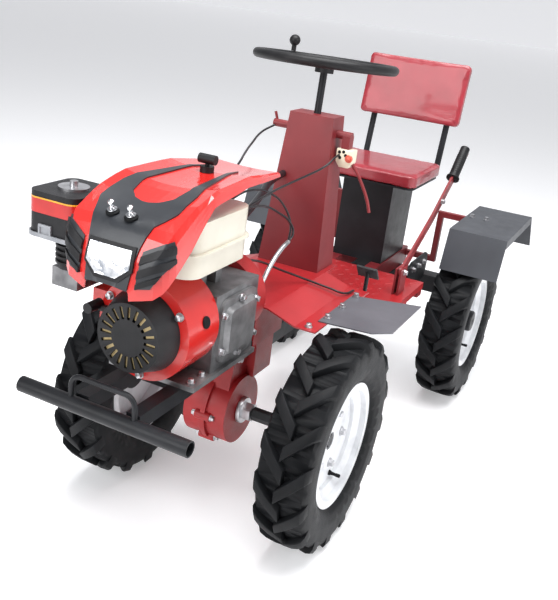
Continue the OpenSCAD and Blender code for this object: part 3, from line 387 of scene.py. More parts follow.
def hex_bolt(name, flats, head, washer):
    """A bolt head on its washer, standing on the ground under the origin; sizes in millimetres."""
    washer_t = 0.0025
    top = washer_t + head / 1000
    bpy.ops.object.select_all(action="DESELECT")
    bpy.ops.mesh.primitive_cylinder_add(vertices=24, radius=washer / 1000, depth=washer_t,
                                        location=(0, 0, washer_t / 2))
    bolt = bpy.context.object
    bolt.name = name
    bpy.ops.object.transform_apply(location=True, rotation=True, scale=True)
    bpy.ops.object.mode_set(mode="EDIT")
    bpy.ops.mesh.primitive_cylinder_add(vertices=6, radius=flats / 2000 / math.cos(math.radians(30)),
                                        depth=head / 1000, location=(0, 0, washer_t + head / 2000))
    mark(bolt, lambda middle, normal: normal.z > 0.9 and middle.z > 0.99 * top)
    bpy.ops.mesh.inset(thickness=flats / 9000)
    bpy.ops.transform.translate(value=(0, 0, flats / 14000))
    bpy.ops.object.mode_set(mode="OBJECT")
    return bolt


def set_out(master, name, places, body, made):
    """Copies a small piece to its places, each a point and the way it faces, and joins the copies as one."""
    copies = []
    for place, facing in places:
        copy = twin(master)
        turned_to = Vector(facing).to_track_quat("Z", "Y").to_matrix().to_4x4()
        copy.matrix_world = Matrix.Translation(place) @ turned_to
        copies.append(copy)
    group = joined(name, copies)
    bpy.ops.object.shade_smooth_by_angle(angle=crease_angle)
    return place_piece(group, body, made)


def ring_places(centre, radius, count, side, start=0.0):
    """Places round a wheel centre at a radius in millimetres, facing left or right."""
    turns = [math.radians(start + 360 * i / count) for i in range(count)]
    return [(centre + Vector((math.cos(t), 0, math.sin(t))) * radius / 1000, (0, side, 0)) for t in turns]


axle_z = 287.5
wheel_faces = {"fl": (0, 314), "fr": (0, -314), "rl": (-1120, 364), "rr": (-1120, -364)}
wheel_bolt = hex_bolt("wheel_bolt", 17, 9, 13)
for corner, (axle_at, face_y) in wheel_faces.items():
    set_out(wheel_bolt, "wheel_bolts_" + corner,
            ring_places(spot(axle_at, face_y, axle_z), 75, 5, math.copysign(1, face_y), 40),
            "wheel_" + corner, zinc)
bpy.data.objects.remove(wheel_bolt)


# Tyre valves: a rubber stem through each rim disc, with a screwed cap.
def turned(name, steps, sides=24):
    """A turned piece about Z, drawn out from step to step to a radius and a height in millimetres."""
    (first_r, first_z), (next_r, next_z) = steps[:2]
    bpy.ops.object.select_all(action="DESELECT")
    bpy.ops.mesh.primitive_cylinder_add(vertices=sides, radius=first_r / 1000,
                                        depth=(next_z - first_z) / 1000,
                                        location=(0, 0, (first_z + next_z) / 2000))
    piece = bpy.context.object
    piece.name = name
    bpy.ops.object.transform_apply(location=True, rotation=True, scale=True)
    bpy.ops.object.mode_set(mode="EDIT")
    mark(piece, lambda middle, normal: normal.z > 0.9)
    bpy.ops.transform.resize(value=(next_r / first_r, next_r / first_r, 1))
    for (last_r, last_z), (this_r, this_z) in zip(steps[1:], steps[2:]):
        bpy.ops.mesh.extrude_region_move(TRANSFORM_OT_translate={"value": (0, 0, (this_z - last_z) / 1000)})
        bpy.ops.transform.resize(value=(this_r / last_r, this_r / last_r, 1))
    bpy.ops.object.mode_set(mode="OBJECT")
    return piece


valve = turned("tyre_valve", [(8, -2), (7, 4), (5, 7), (4, 20), (5, 20), (5, 30), (3.5, 32)], 16)
for corner, (axle_at, face_y) in wheel_faces.items():
    set_out(valve, "tyre_valve_" + corner,
            ring_places(spot(axle_at, face_y, axle_z), 114, 1, math.copysign(1, face_y), 255),
            "wheel_" + corner, rubber)
bpy.data.objects.remove(valve)

# Rear hub caps: turned steel caps, painted black, over the ends of the stub axles.
black_steel = finish("black_powder_coat", (0.01, 0.0105, 0.013), 0.38, shine=0.24)
shades(black_steel, pattern(black_steel, "ShaderNodeTexNoise", 12, 5), 0.3, (0.008, 0.0085, 0.01),
       0.75, (0.017, 0.018, 0.021))
gloss(black_steel, pattern(black_steel, "ShaderNodeTexNoise", 40, 3), 0.3, 0.5)
relief(black_steel, pattern(black_steel, "ShaderNodeTexNoise", 300, 2), 0.0004, 0.35)
hub_cap = turned("hub_cap", [(52, 0), (52, 5), (41, 6), (38, 10), (38, 32), (34, 37), (12, 40), (11, 41)], 40)
for corner in ("rl", "rr"):
    axle_at, face_y = wheel_faces[corner]
    set_out(hub_cap, "hub_cap_" + corner, [(spot(axle_at, face_y, axle_z), (0, math.copysign(1, face_y), 0))],
            "wheel_" + corner, black_steel)
bpy.data.objects.remove(hub_cap)

# Front axle nuts: a broad washer and a long hexagon nut, zinc plated, on each side of the axle case. They
# turn with the black hexagonal shafts.
dress(black_steel, "shaft_fl", "shaft_fr")
axle_nut = turned("axle_nut", [(35, 0.8), (36.5, 2), (36.5, 10), (35, 12.6)], 40)
bpy.ops.object.mode_set(mode="EDIT")
bpy.ops.mesh.primitive_cylinder_add(vertices=6, radius=0.0262, depth=0.024, location=(0, 0, 0.0246))
mark(axle_nut, lambda middle, normal: normal.z > 0.9 and middle.z > 0.036)
bpy.ops.mesh.inset(thickness=0.003)
bpy.ops.transform.translate(value=(0, 0, 0.0014))
bpy.ops.object.mode_set(mode="OBJECT")
set_out(axle_nut, "axle_nut_fl", [(spot(0, 50, axle_z), (0, 1, 0))], "wheel_fl", zinc)
set_out(axle_nut, "axle_nut_fr", [(spot(0, -75, axle_z), (0, -1, 0))], "wheel_fr", zinc)
bpy.data.objects.remove(axle_nut)

# The gear case is a sand casting under satin red paint, so its skin is grainy. Bolts through its lugs hold
# the two halves together, and more hold the neck.
cast_red = finish("cast_red_paint", (0.36, 0.011, 0.013), 0.42)
clouds(cast_red, 11, 5, (0.27, 0.008, 0.01), (0.42, 0.013, 0.015))
gloss(cast_red, pattern(cast_red, "ShaderNodeTexNoise", 35, 3), 0.32, 0.55)
relief(cast_red, pattern(cast_red, "ShaderNodeTexNoise", 420, 3), 0.0009, 0.5)
dress(cast_red, "gearcase")
case_r = 95
case_turns = [math.radians(360 * i / 7) for i in range(4)]
case_rim = [(case_r * math.cos(t), axle_z - case_r * math.sin(t)) for t in case_turns]
case_lug = turned("case_lug", [(12, -23), (13, -22), (13, 22), (12, 23)])
set_out(case_lug, "case_lugs", [(spot(x, -12.5, z), (0, 1, 0)) for x, z in case_rim],
        "front_unit", cast_red)
bpy.data.objects.remove(case_lug)
case_bolt = hex_bolt("case_bolt", 13, 8, 10)
set_out(case_bolt, "case_bolts",
        [(spot(x, y, z), (0, side, 0)) for x, z in case_rim for y, side in ((10.5, 1), (-35.5, -1))]
        + [(spot(x, 37.5, z), (0, 1, 0)) for x, z in ((38, 352), (-52, 352), (20, 440), (-80, 470))]
        + [(spot(48, y, z), (1, 0, 0)) for y, z in ((-70, 515), (70, 515))],
        "front_unit", zinc)


# Crankcase, cylinder and carburettor are die-cast aluminium, dull and stained, with a domed side cover and
# bright cover bolts.
def sawn_block(name, middle, size):
    """A plain block in place, with its size in millimetres, that is shaped further."""
    bpy.ops.object.select_all(action="DESELECT")
    bpy.ops.mesh.primitive_cube_add(size=1, location=middle, scale=[side / 1000 for side in size])
    piece = bpy.context.object
    piece.name = name
    bpy.ops.object.transform_apply(location=True, rotation=True, scale=True)
    return piece


def round_corners(piece, axis, radius, steps):
    """Rounds the edges of a block that run along an axis, in edit mode; radius in millimetres."""
    bpy.ops.mesh.select_mode(type="EDGE")
    bpy.ops.mesh.select_all(action="DESELECT")
    mesh = bmesh.from_edit_mesh(piece.data)
    for edge in mesh.edges:
        edge.select_set(abs(edge.verts[0].co[axis] - edge.verts[1].co[axis]) > 0.0005)
    bmesh.update_edit_mesh(piece.data)
    bpy.ops.mesh.bevel(offset=radius / 1000, segments=steps)


alloy = finish("cast_alloy", (0.26, 0.26, 0.265), 0.5, metal=0.85)
shades(alloy, pattern(alloy, "ShaderNodeTexNoise", 18, 6), 0.3, (0.12, 0.12, 0.125), 0.65, (0.3, 0.3, 0.305))
gloss(alloy, pattern(alloy, "ShaderNodeTexNoise", 50, 4), 0.4, 0.65)
relief(alloy, pattern(alloy, "ShaderNodeTexNoise", 500, 3), 0.0008, 0.5)
dress(alloy, "engine_block")
side_cover = sawn_block("crankcase_cover", spot(200, 109.6, 622), (172, 9, 156))
bpy.ops.object.mode_set(mode="EDIT")
round_corners(side_cover, 1, 34, 8)
mark(side_cover, lambda middle, normal: normal.y > 0.9)
bpy.ops.mesh.inset(thickness=0.018)
bpy.ops.mesh.extrude_region_move(TRANSFORM_OT_translate={"value": (0, 0.012, 0)})
bpy.ops.transform.resize(value=(0.88, 1, 0.88))
bpy.ops.object.mode_set(mode="OBJECT")
bpy.ops.object.shade_smooth_by_angle(angle=crease_angle)
place_piece(side_cover, "front_unit", alloy)
cover_bolts = ((124, 666), (200, 691), (276, 666), (276, 578), (200, 553), (124, 578))
set_out(case_bolt, "engine_bolts",
        [(spot(x, 114.1, z), (0, 1, 0)) for x, z in cover_bolts]
        + [(spot(x, side * 95, 528), (0, 0, 1)) for x in (320, 366) for side in (-1, 1)],
        "front_unit", zinc)

# The fan shroud is pressed sheet with bright red gloss enamel, and a rubber plug in its cheek.
shroud_red = finish("shroud_red_enamel", (0.58, 0.016, 0.012), 0.24, coat=0.5)
clouds(shroud_red, 7, 4, (0.5, 0.013, 0.01), (0.62, 0.018, 0.014))
relief(shroud_red, pattern(shroud_red, "ShaderNodeTexNoise", 190, 2), 0.0004, 0.3)
dress(shroud_red, "fan_shroud")
fan_z = 648
shroud_r = 0.117
plug_turn = math.radians(14)
shroud_plug = turned("shroud_plug_form", [(14, -1), (14, 2), (12, 4), (4, 4.5)], 28)
plug_faces = Vector((0, math.cos(plug_turn), math.sin(plug_turn)))
set_out(shroud_plug, "shroud_plug", [(spot(355, 0, fan_z) + shroud_r * plug_faces, plug_faces)],
        "front_unit", rubber)
bpy.data.objects.remove(shroud_plug)

# Recoil cover, air cleaner housing and hood knob are moulded in black plastic with a fine grain.
black_plastic = finish("black_plastic", (0.01, 0.01, 0.011), 0.45, shine=0.28)
gloss(black_plastic, pattern(black_plastic, "ShaderNodeTexNoise", 30, 4), 0.34, 0.56)
shades(black_plastic, pattern(black_plastic, "ShaderNodeTexNoise", 20, 5), 0.35, (0.008, 0.008, 0.009),
       0.75, (0.016, 0.016, 0.018))
relief(black_plastic, pattern(black_plastic, "ShaderNodeTexVoronoi", 900), 0.0002, 0.5)
dress(black_plastic, "recoil_cover", "air_cleaner", "hood_knob")

# Starter screen: a brass coloured ring that shows through the slots of the recoil cover, and the bright
# bolts that hold the cover to the shroud.
brass = finish("passivated_brass", (0.5, 0.38, 0.18), 0.45, metal=0.3)
clouds(brass, 70, 4, (0.36, 0.26, 0.11), (0.6, 0.47, 0.24))
relief(brass, pattern(brass, "ShaderNodeTexNoise", 400, 2), 0.0003, 0.3)
bpy.ops.object.select_all(action="DESELECT")
bpy.ops.mesh.primitive_circle_add(vertices=60, radius=0.0695, fill_type="NOTHING")
screen = bpy.context.object
screen.name = "screen_form"
bpy.ops.object.mode_set(mode="EDIT")
bpy.ops.mesh.select_mode(type="EDGE")
bpy.ops.mesh.select_all(action="SELECT")
bpy.ops.mesh.extrude_region_move()
bpy.ops.transform.resize(value=(0.645, 0.645, 1))
bpy.ops.mesh.select_all(action="SELECT")
bpy.ops.mesh.normals_make_consistent(inside=False)
bpy.ops.object.mode_set(mode="OBJECT")
thickness = screen.modifiers.new("sheet", "SOLIDIFY")
thickness.thickness = 0.002
thickness.offset = 0
bpy.ops.object.modifier_apply(modifier="sheet")
set_out(screen, "starter_screen", [(spot(477, 0, fan_z), (1, 0, 0))], "front_unit", brass)
bpy.data.objects.remove(screen)
cover_r = 106
cover_turns = [math.radians(a) for a in (32, 148, 270)]
set_out(case_bolt, "recoil_bolts",
        [(spot(425.4, cover_r * math.cos(t), fan_z + cover_r * math.sin(t)), (1, 0, 0)) for t in cover_turns],
        "front_unit", zinc)

# The fuel tank is two pressed halves seamed together, in beige gloss enamel.
tank_beige = finish("tank_beige_enamel", (0.62, 0.58, 0.48), 0.25, coat=0.4)
clouds(tank_beige, 9, 5, (0.54, 0.5, 0.41), (0.66, 0.62, 0.52))
relief(tank_beige, pattern(tank_beige, "ShaderNodeTexNoise", 170, 2), 0.0004, 0.3)
dress(tank_beige, "fuel_tank")


# Trim of the air cleaner: a red band with a thin yellow one above it round the lid, and a bare grey base
# plate with its spring latch.
def band(name, centre, length, width, corner, low, high, wall):
    """A band with round corners about an upright axis; sizes in millimetres, heights over the ground."""
    piece = sawn_block(name, spot(*centre, (low + high) / 2), (length, width, high - low))
    bpy.ops.object.mode_set(mode="EDIT")
    round_corners(piece, 2, corner, 8)
    mark(piece, lambda middle, normal: abs(normal.z) > 0.9)
    bpy.ops.mesh.delete(type="FACE")
    bpy.ops.object.mode_set(mode="OBJECT")
    wall_of = piece.modifiers.new("wall", "SOLIDIFY")
    wall_of.thickness = wall / 1000
    wall_of.offset = -1
    bpy.ops.object.modifier_apply(modifier="wall")
    bpy.ops.object.shade_smooth_by_angle(angle=crease_angle)
    return piece


cleaner = (425, -200)
band_red = finish("band_red", (0.5, 0.014, 0.012), 0.3, coat=0.3)
clouds(band_red, 20, 3, (0.43, 0.011, 0.01), (0.55, 0.016, 0.013))
band_yellow = finish("band_yellow", (0.75, 0.36, 0.02), 0.3, coat=0.3)
clouds(band_yellow, 20, 3, (0.68, 0.31, 0.015), (0.8, 0.4, 0.025))
plate_grey = finish("bare_plate_grey", (0.3, 0.31, 0.33), 0.4, metal=0.4)
clouds(plate_grey, 30, 4, (0.24, 0.25, 0.27), (0.36, 0.37, 0.39))
place_piece(band("cleaner_band", cleaner, 151.4, 129.4, 24.7, 874, 904, 3),
            "front_unit", band_red)
place_piece(band("cleaner_line", cleaner, 151.4, 129.4, 24.7, 904.3, 907.6, 3),
            "front_unit", band_yellow)
place_piece(band("cleaner_base", cleaner, 159.6, 137.6, 28.8, 821.4, 830.6, 3),
            "front_unit", plate_grey)
latch = sawn_block("cleaner_latch", spot(501.5, -212, 838), (6, 34, 26))
bpy.ops.object.mode_set(mode="EDIT")
mark(latch, lambda middle, normal: normal.x > 0.9)
bpy.ops.mesh.inset(thickness=0.005)
bpy.ops.mesh.extrude_region_move(TRANSFORM_OT_translate={"value": (-0.003, 0, 0)})
bpy.ops.mesh.select_all(action="SELECT")
bpy.ops.mesh.bevel(offset=0.0008, segments=2)
bpy.ops.object.mode_set(mode="OBJECT")
place_piece(latch, "front_unit", plate_grey)

# The muffler has heat-proof paint, gone dull and a little brown.
muffler_paint = finish("muffler_paint", (0.05, 0.045, 0.04), 0.7)
shades(muffler_paint, pattern(muffler_paint, "ShaderNodeTexNoise", 24, 6), 0.35, (0.03, 0.028, 0.026),
       0.75, (0.085, 0.062, 0.05))
relief(muffler_paint, pattern(muffler_paint, "ShaderNodeTexNoise", 600, 3), 0.0006, 0.5)
dress(muffler_paint, "muffler")

# The hood is a moulded shell in bright red gloss, with a black centre band and black vent grilles.
hood_red = finish("hood_red_gloss", (0.6, 0.018, 0.013), 0.2, coat=0.7)
clouds(hood_red, 5, 4, (0.53, 0.014, 0.011), (0.64, 0.02, 0.015))
relief(hood_red, pattern(hood_red, "ShaderNodeTexNoise", 45, 2), 0.0006, 0.12)
dress(hood_red, "hood_shell")
hood_black = finish("hood_black_satin", (0.018, 0.02, 0.024), 0.34, coat=0.1)
clouds(hood_black, 12, 4, (0.015, 0.017, 0.021), (0.022, 0.025, 0.03))
gloss(hood_black, pattern(hood_black, "ShaderNodeTexNoise", 30, 3), 0.3, 0.44)
relief(hood_black, pattern(hood_black, "ShaderNodeTexNoise", 300, 2), 0.0002, 0.25)
dress(hood_black, "hood_panel", "hood_vents")


# Trim of the hood: a black band that forks round a red drop and runs down the nose, and black vents with
# slats on both cheeks. Each is a sheet on the skin of the hood, cut to its outline.
def fence(outline, seen="above"):
    """Planes along a convex outline in millimetres, seen from above or from the front, facing outwards."""
    planes = []
    for (a, b), (c, d) in zip(outline, outline[1:] + outline[:1]):
        if seen == "above":
            planes.append((spot(a, b, 0), Vector((d - b, a - c, 0)).normalized()))
        else:
            planes.append((spot(0, a, b), Vector((0, d - b, a - c)).normalized()))
    return planes


def hood_sheet(name, edges, thick, hole=()):
    """A sheet that lies on the hood inside the edges, with a hole."""
    sheet = solid_copy(name, "hood_shell")
    heart = spot(300, 0, 800)
    bpy.ops.object.mode_set(mode="EDIT")
    bpy.ops.mesh.select_all(action="SELECT")
    bpy.ops.mesh.remove_doubles(threshold=merge_gap)
    mark(sheet, lambda middle, normal: normal.dot(middle - heart) <= 0 or normal.x < -0.6)
    bpy.ops.mesh.delete(type="FACE")
    for place, facing in edges:
        bpy.ops.mesh.select_all(action="SELECT")
        bpy.ops.mesh.bisect(plane_co=place, plane_no=facing, clear_outer=True)
    for place, facing in hole:
        bpy.ops.mesh.select_all(action="SELECT")
        bpy.ops.mesh.bisect(plane_co=place, plane_no=facing)
    if hole:
        mark(sheet, lambda middle, normal: all((middle - place).dot(facing) < 0 for place, facing in hole))
        bpy.ops.mesh.delete(type="FACE")
    bpy.ops.object.mode_set(mode="OBJECT")
    raised = sheet.modifiers.new("raised", "SOLIDIFY")
    raised.thickness = thick / 1000
    raised.offset = 1
    bpy.ops.object.modifier_apply(modifier="raised")
    bpy.ops.object.shade_smooth_by_angle(angle=crease_angle)
    return sheet


def both_halves(half):
    """An outline seen from above, from its right half."""
    return half + [(x, -y) for x, y in reversed(half)]


band_proud, slat_proud = 3.2, 7
band_right = [(140, -42), (398, -92), (470, -95), (572, -48)]
drop_right = [(100, -38), (375, -58), (420, -50), (440, -30), (448, -8)]
hood_band = hood_sheet("hood_band", fence(both_halves(band_right)), band_proud,
                       fence(both_halves(drop_right)))
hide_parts("hood_panel")
place_piece(hood_band, "front_unit", hood_black)
vent_outline = [(67, 800), (96, 805), (128, 861), (124, 901), (70, 872)]
slat_rise = Vector((0, -0.473, 0.881))
vent_panels, vent_slats = [], []
for side in (1, -1):
    outline = vent_outline if side > 0 else [(-y, z) for y, z in reversed(vent_outline)]
    edges = fence(outline, "front") + [(spot(522, 0, 0), Vector((-1, 0, 0)))]
    vent_panels.append(hood_sheet("vent_panel", edges, band_proud))
    rise = Vector((0, side * slat_rise.y, slat_rise.z))
    corner = spot(0, side * 70, 872)
    for top, foot in ((-8, -22), (-31, -45), (-53, -63)):
        strip = [(corner + rise * top / 1000, rise), (corner + rise * foot / 1000, -rise)]
        vent_slats.append(hood_sheet("vent_slat", edges + strip, slat_proud))
vents = joined("vent_panels", vent_panels)
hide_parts("hood_vents")
place_piece(vents, "front_unit", hood_black)
place_piece(joined("vent_slats", vent_slats), "front_unit", black_plastic)

# The headlight is a clear moulded lens over a faceted bright reflector, drawn here as one opaque sheet.
lamp = finish("lamp_lens", (0.8, 0.82, 0.85), 0.1, metal=0.55, coat=1.0)
# Partly painted reflection: the pale silver is the reflector's own, the mottling towards white is painted
# glints of its facets.
shades(lamp, pattern(lamp, "ShaderNodeTexNoise", 45, 3), 0.35, (0.5, 0.53, 0.58), 0.62, (0.95, 0.96, 0.98))
relief(lamp, pattern(lamp, "ShaderNodeTexNoise", 45, 2), 0.004, 0.5)
dress(lamp, "headlight")
bezel_outline = [(-28, 803), (28, 803), (57, 829), (56, 876), (-56, 876), (-57, 829)]
bezel = hood_sheet("lamp_bezel", fence(bezel_outline, "front"), 6)
place_piece(bezel, "front_unit", black_plastic)
lens_outline = [(-24, 811), (24, 811), (51, 833), (49, 868), (-49, 868), (-51, 833)]
lens = hood_sheet("lamp_lens", fence(lens_outline, "front"), 9)
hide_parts("headlight")
place_piece(lens, "front_unit", lamp)

# Mirror studs: two chromed ball studs on rubber washers, screwed through the black slope of the hood.
chrome = finish("chrome_plate", (0.7, 0.71, 0.73), 0.12, metal=1.0)
gloss(chrome, pattern(chrome, "ShaderNodeTexNoise", 90, 3), 0.08, 0.2)
stud_washer = turned("stud_washer", [(13.5, -1), (14, 1), (14, 4), (12, 6), (6, 6.5)], 28)
stud = turned("stud", [(10, 6), (10.5, 7), (10.5, 9), (6, 10), (4, 13), (4, 17), (6, 19), (7, 22), (6.4, 26),
                       (4, 28.5), (1, 29.3)], 28)
stud_places = []
bpy.context.view_layer.update()
for stud_x, stud_y in ((512, -32), (515, 15)):
    _, place, facing, _ = hood_band.ray_cast(spot(stud_x, stud_y, 1100), (0, 0, -1))
    stud_places.append((place, facing))
set_out(stud_washer, "stud_washers", stud_places, "front_unit", rubber)
set_out(stud, "hood_studs", stud_places, "front_unit", chrome)
bpy.data.objects.remove(stud_washer)
bpy.data.objects.remove(stud)

# Bearers, bumper, drawbar, pedal, seat frame and rear axle are welded steel, powder coated satin black.
dress(black_steel, "engine_bearers", "bumper", "pedal", "drawbar", "seat_frame", "seat_posts", "rear_beam",
      "axle_drops", "hitch", "steering_shaft")

# Apron and floor are folded steel sheet, powder coated in satin red.
frame_red = finish("frame_red_powder_coat", (0.33, 0.014, 0.018), 0.36, coat=0.15)
clouds(frame_red, 6, 5, (0.28, 0.011, 0.014), (0.37, 0.016, 0.02))
gloss(frame_red, pattern(frame_red, "ShaderNodeTexNoise", 30, 3), 0.3, 0.46)
relief(frame_red, pattern(frame_red, "ShaderNodeTexNoise", 260, 2), 0.0004, 0.35)
dress(frame_red, "apron", "floor_plate")

# Column, control stubs, rear frame, lever and brackets are folded or welded steel in a duller, darker red.
dull_red = finish("dull_red_powder_coat", (0.2, 0.016, 0.02), 0.42)
clouds(dull_red, 6, 5, (0.165, 0.013, 0.017), (0.23, 0.02, 0.024))
gloss(dull_red, pattern(dull_red, "ShaderNodeTexNoise", 30, 3), 0.36, 0.52)
relief(dull_red, pattern(dull_red, "ShaderNodeTexNoise", 260, 2), 0.0004, 0.35)
dress(dull_red, "column", "hand_controls", "rear_frame", "fender_brackets", "lift_lever", "lift_bracket")

# Front and rear fenders are folded sheet, powder coated slate grey, bolted to the apron and to their
# brackets.
fender_grey = finish("fender_grey_powder_coat", (0.085, 0.087, 0.1), 0.4)
clouds(fender_grey, 8, 5, (0.07, 0.072, 0.084), (0.1, 0.102, 0.116))
gloss(fender_grey, pattern(fender_grey, "ShaderNodeTexNoise", 26, 3), 0.33, 0.5)
relief(fender_grey, pattern(fender_grey, "ShaderNodeTexNoise", 280, 2), 0.0004, 0.35)
dress(fender_grey, "front_fenders")
fender_slate = finish("fender_slate_powder_coat", (0.04, 0.044, 0.052), 0.42, shine=0.4)
clouds(fender_slate, 8, 5, (0.034, 0.037, 0.044), (0.047, 0.051, 0.06))
gloss(fender_slate, pattern(fender_slate, "ShaderNodeTexNoise", 26, 3), 0.35, 0.52)
relief(fender_slate, pattern(fender_slate, "ShaderNodeTexNoise", 280, 2), 0.0004, 0.35)
dress(fender_slate, "rear_fenders")
set_out(case_bolt, "apron_bolts",
        [(spot(x, side * 233, 589), (0, 0, 1)) for x in (-62, -160, -262) for side in (-1, 1)]
        + [(spot(24, side * 84, 612), (0, 0, 1)) for side in (-1, 1)]
        + [(spot(20, side * 218, 586), (0, 0, 1)) for side in (-1, 1)],
        "front_unit", zinc)
set_out(case_bolt, "fender_bolts",
        [(spot(-1180, side * y, 651), (0, 0, 1)) for y in (312, 362) for side in (-1, 1)],
        "rear_unit", zinc)

# Tread of the floor: the raised lozenges that are rolled into the plate, crossed in turn.
lozenge_pitch = 31
tread_rows, tread_half, tread_start = 13, 8, -436
cut_start, cut_half, cut_run, cut_widens = -420, 150, 141, 110
floor_half = 262
lozenges = []
for turn in (45, -45):
    bpy.ops.object.select_all(action="DESELECT")
    bpy.ops.mesh.primitive_cylinder_add(vertices=8, radius=1, depth=1, location=(0, 0, 0),
                                        rotation=(0, 0, math.radians(turn)), scale=(0.0125, 0.0032, 0.0016))
    lozenge = bpy.context.object
    bpy.ops.object.transform_apply(location=True, rotation=True, scale=True)
    bpy.ops.object.mode_set(mode="EDIT")
    mark(lozenge, lambda middle, normal: normal.z > 0.9)
    bpy.ops.transform.resize(value=(0.75, 0.75, 1))
    bpy.ops.object.mode_set(mode="OBJECT")
    lozenges.append(lozenge)
tread = [[], []]
for row in range(tread_rows):
    for column in range(-tread_half, tread_half + 1):
        x, y = tread_start - row * lozenge_pitch, column * lozenge_pitch
        inside_cut = abs(y) < cut_half + max(0, cut_start - x) / cut_run * cut_widens
        clear_of_lift = not (-720 < x < -555 and y > 200)
        if inside_cut and clear_of_lift and abs(y) < floor_half:
            tread[(row + column) % 2].append((spot(x, y, 490.2), (0, 0, 1)))
for lozenge, places, name in zip(lozenges, tread, ("tread_left", "tread_right")):
    set_out(lozenge, name, places, "rear_unit", frame_red)
    bpy.data.objects.remove(lozenge)

# Seat cushion and backrest are foam under dark red vinyl, pulled over the edges and stapled behind.
seat_vinyl = finish("seat_vinyl", (0.26, 0.012, 0.022), 0.34, coat=0.5, shine=0.6)
clouds(seat_vinyl, 10, 5, (0.22, 0.01, 0.018), (0.3, 0.014, 0.026))
gloss(seat_vinyl, pattern(seat_vinyl, "ShaderNodeTexNoise", 26, 4), 0.26, 0.46)
relief(seat_vinyl, pattern(seat_vinyl, "ShaderNodeTexVoronoi", 420), 0.0005, 0.4)
relief(seat_vinyl, pattern(seat_vinyl, "ShaderNodeTexNoise", 17, 3), 0.004, 0.25)
cloth_steps = 20


def stuffed(name, node, drawn_in, reach):
    """A foam pad: the plain solid, drawn in a little, then blown up as cloth by at most a reach."""
    low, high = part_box(node)
    size = high - low
    pad = solid_copy(name, node)
    bpy.ops.object.mode_set(mode="EDIT")
    bpy.ops.mesh.select_all(action="SELECT")
    bpy.ops.mesh.remove_doubles(threshold=merge_gap)
    bpy.ops.transform.resize(value=[1 - 2 * drawn_in / s for s in size])
    bpy.ops.object.mode_set(mode="OBJECT")
    pad.data.remesh_voxel_size = 0.005
    bpy.ops.object.voxel_remesh()
    start = [v.co.copy() for v in pad.data.vertices]
    cover = pad.modifiers.new("cover", "CLOTH")
    cover.settings.use_pressure = True
    cover.settings.uniform_pressure_force = 4
    cover.settings.effector_weights.gravity = 0
    cover.point_cache.frame_start = 1
    cover.point_cache.frame_end = cloth_steps
    for step in range(1, cloth_steps + 1):
        bpy.context.scene.frame_set(step)
    bpy.ops.object.modifier_apply(modifier="cover")
    bpy.context.scene.frame_set(1)
    for point, rest in zip(pad.data.vertices, start):
        move = point.co - rest
        if move.length > reach:
            point.co = rest + move * (reach / move.length)
    soften = pad.modifiers.new("soften", "SUBSURF")
    soften.levels = soften.render_levels = 1
    bpy.ops.object.modifier_apply(modifier="soften")
    bpy.ops.object.shade_smooth()
    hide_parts(node)
    return place_piece(pad, "rear_unit", seat_vinyl)


cushion = stuffed("seat_pad", "seat_cushion", 0.004, 0.006)
pan_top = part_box("seat_cushion")[0].z
for point in cushion.data.vertices:
    point.co.z = max(point.co.z, pan_top)
stuffed("back_pad", "backrest", 0.003, 0.004)

# The steering wheel has a rim and hub moulded in black over steel. The grips of the controls are the same.
grip_black = finish("grip_black", (0.008, 0.008, 0.009), 0.42, shine=0.24)
clouds(grip_black, 25, 4, (0.008, 0.008, 0.009), (0.014, 0.014, 0.015))
gloss(grip_black, pattern(grip_black, "ShaderNodeTexNoise", 30, 3), 0.34, 0.54)
relief(grip_black, pattern(grip_black, "ShaderNodeTexNoise", 500, 2), 0.0003, 0.35)
dress(grip_black, "steering_wheel")

# The lever block is a pressed body in cream enamel, with drilled holes and a coral pivot screw at its foot.
block_cream = finish("block_cream_enamel", (0.78, 0.7, 0.53), 0.34, coat=0.2)
shades(block_cream, pattern(block_cream, "ShaderNodeTexNoise", 24, 5), 0.3, (0.68, 0.6, 0.44),
       0.6, (0.82, 0.75, 0.58))
relief(block_cream, pattern(block_cream, "ShaderNodeTexNoise", 200, 2), 0.0004, 0.4)
lever_block = sawn_block("lever_block", spot(-373.6, 103, 943.5), (34, 50, 36))
bpy.ops.object.mode_set(mode="EDIT")
mark(lever_block, lambda middle, normal: normal.z < -0.9)
bpy.ops.mesh.extrude_region_move(TRANSFORM_OT_translate={"value": (0, 0, -0.016)})
bpy.ops.transform.resize(value=(0.8, 0.55, 1))
bpy.ops.mesh.select_all(action="SELECT")
bpy.ops.mesh.bevel(offset=0.003, segments=3)
bpy.ops.object.mode_set(mode="OBJECT")
bpy.ops.object.shade_smooth_by_angle(angle=crease_angle)
place_piece(lever_block, "front_unit", block_cream)
block_face = 356.6
# Painted shade: each drilled hole is a shallow black dish on the block's face that stands for the shade
# inside the hole.
hole_shade_dish = turned("hole_shade_dish", [(4.6, -1), (4.6, 0.4), (3.4, 0.7), (3.2, 0.1)], 20)
set_out(hole_shade_dish, "block_hole_shades",
        [(spot(-block_face, y, z), (1, 0, 0)) for y, z in ((88, 952), (100, 954), (91, 937), (107, 945))],
        "front_unit", grip_black)
bpy.data.objects.remove(hole_shade_dish)
coral = finish("coral_enamel", (0.62, 0.1, 0.06), 0.35, coat=0.2)
clouds(coral, 40, 3, (0.54, 0.08, 0.05), (0.68, 0.13, 0.08))
pivot_screw = turned("pivot_screw_form", [(11, -1), (11, 3), (9.5, 5), (6, 5), (5.5, 9), (4, 10)], 24)
set_out(pivot_screw, "pivot_screw", [(spot(-block_face, 118, 938), (1, 0, 0))],
        "front_unit", coral)
bpy.data.objects.remove(pivot_screw)

# Cables run in smooth black sleeves from the levers to the engine, the gears and the pedal.
cable_black = finish("cable_sleeve", (0.01, 0.01, 0.012), 0.32, shine=0.5)
gloss(cable_black, pattern(cable_black, "ShaderNodeTexNoise", 60, 3), 0.26, 0.4)
clouds(cable_black, 40, 3, (0.008, 0.008, 0.01), (0.014, 0.014, 0.017))


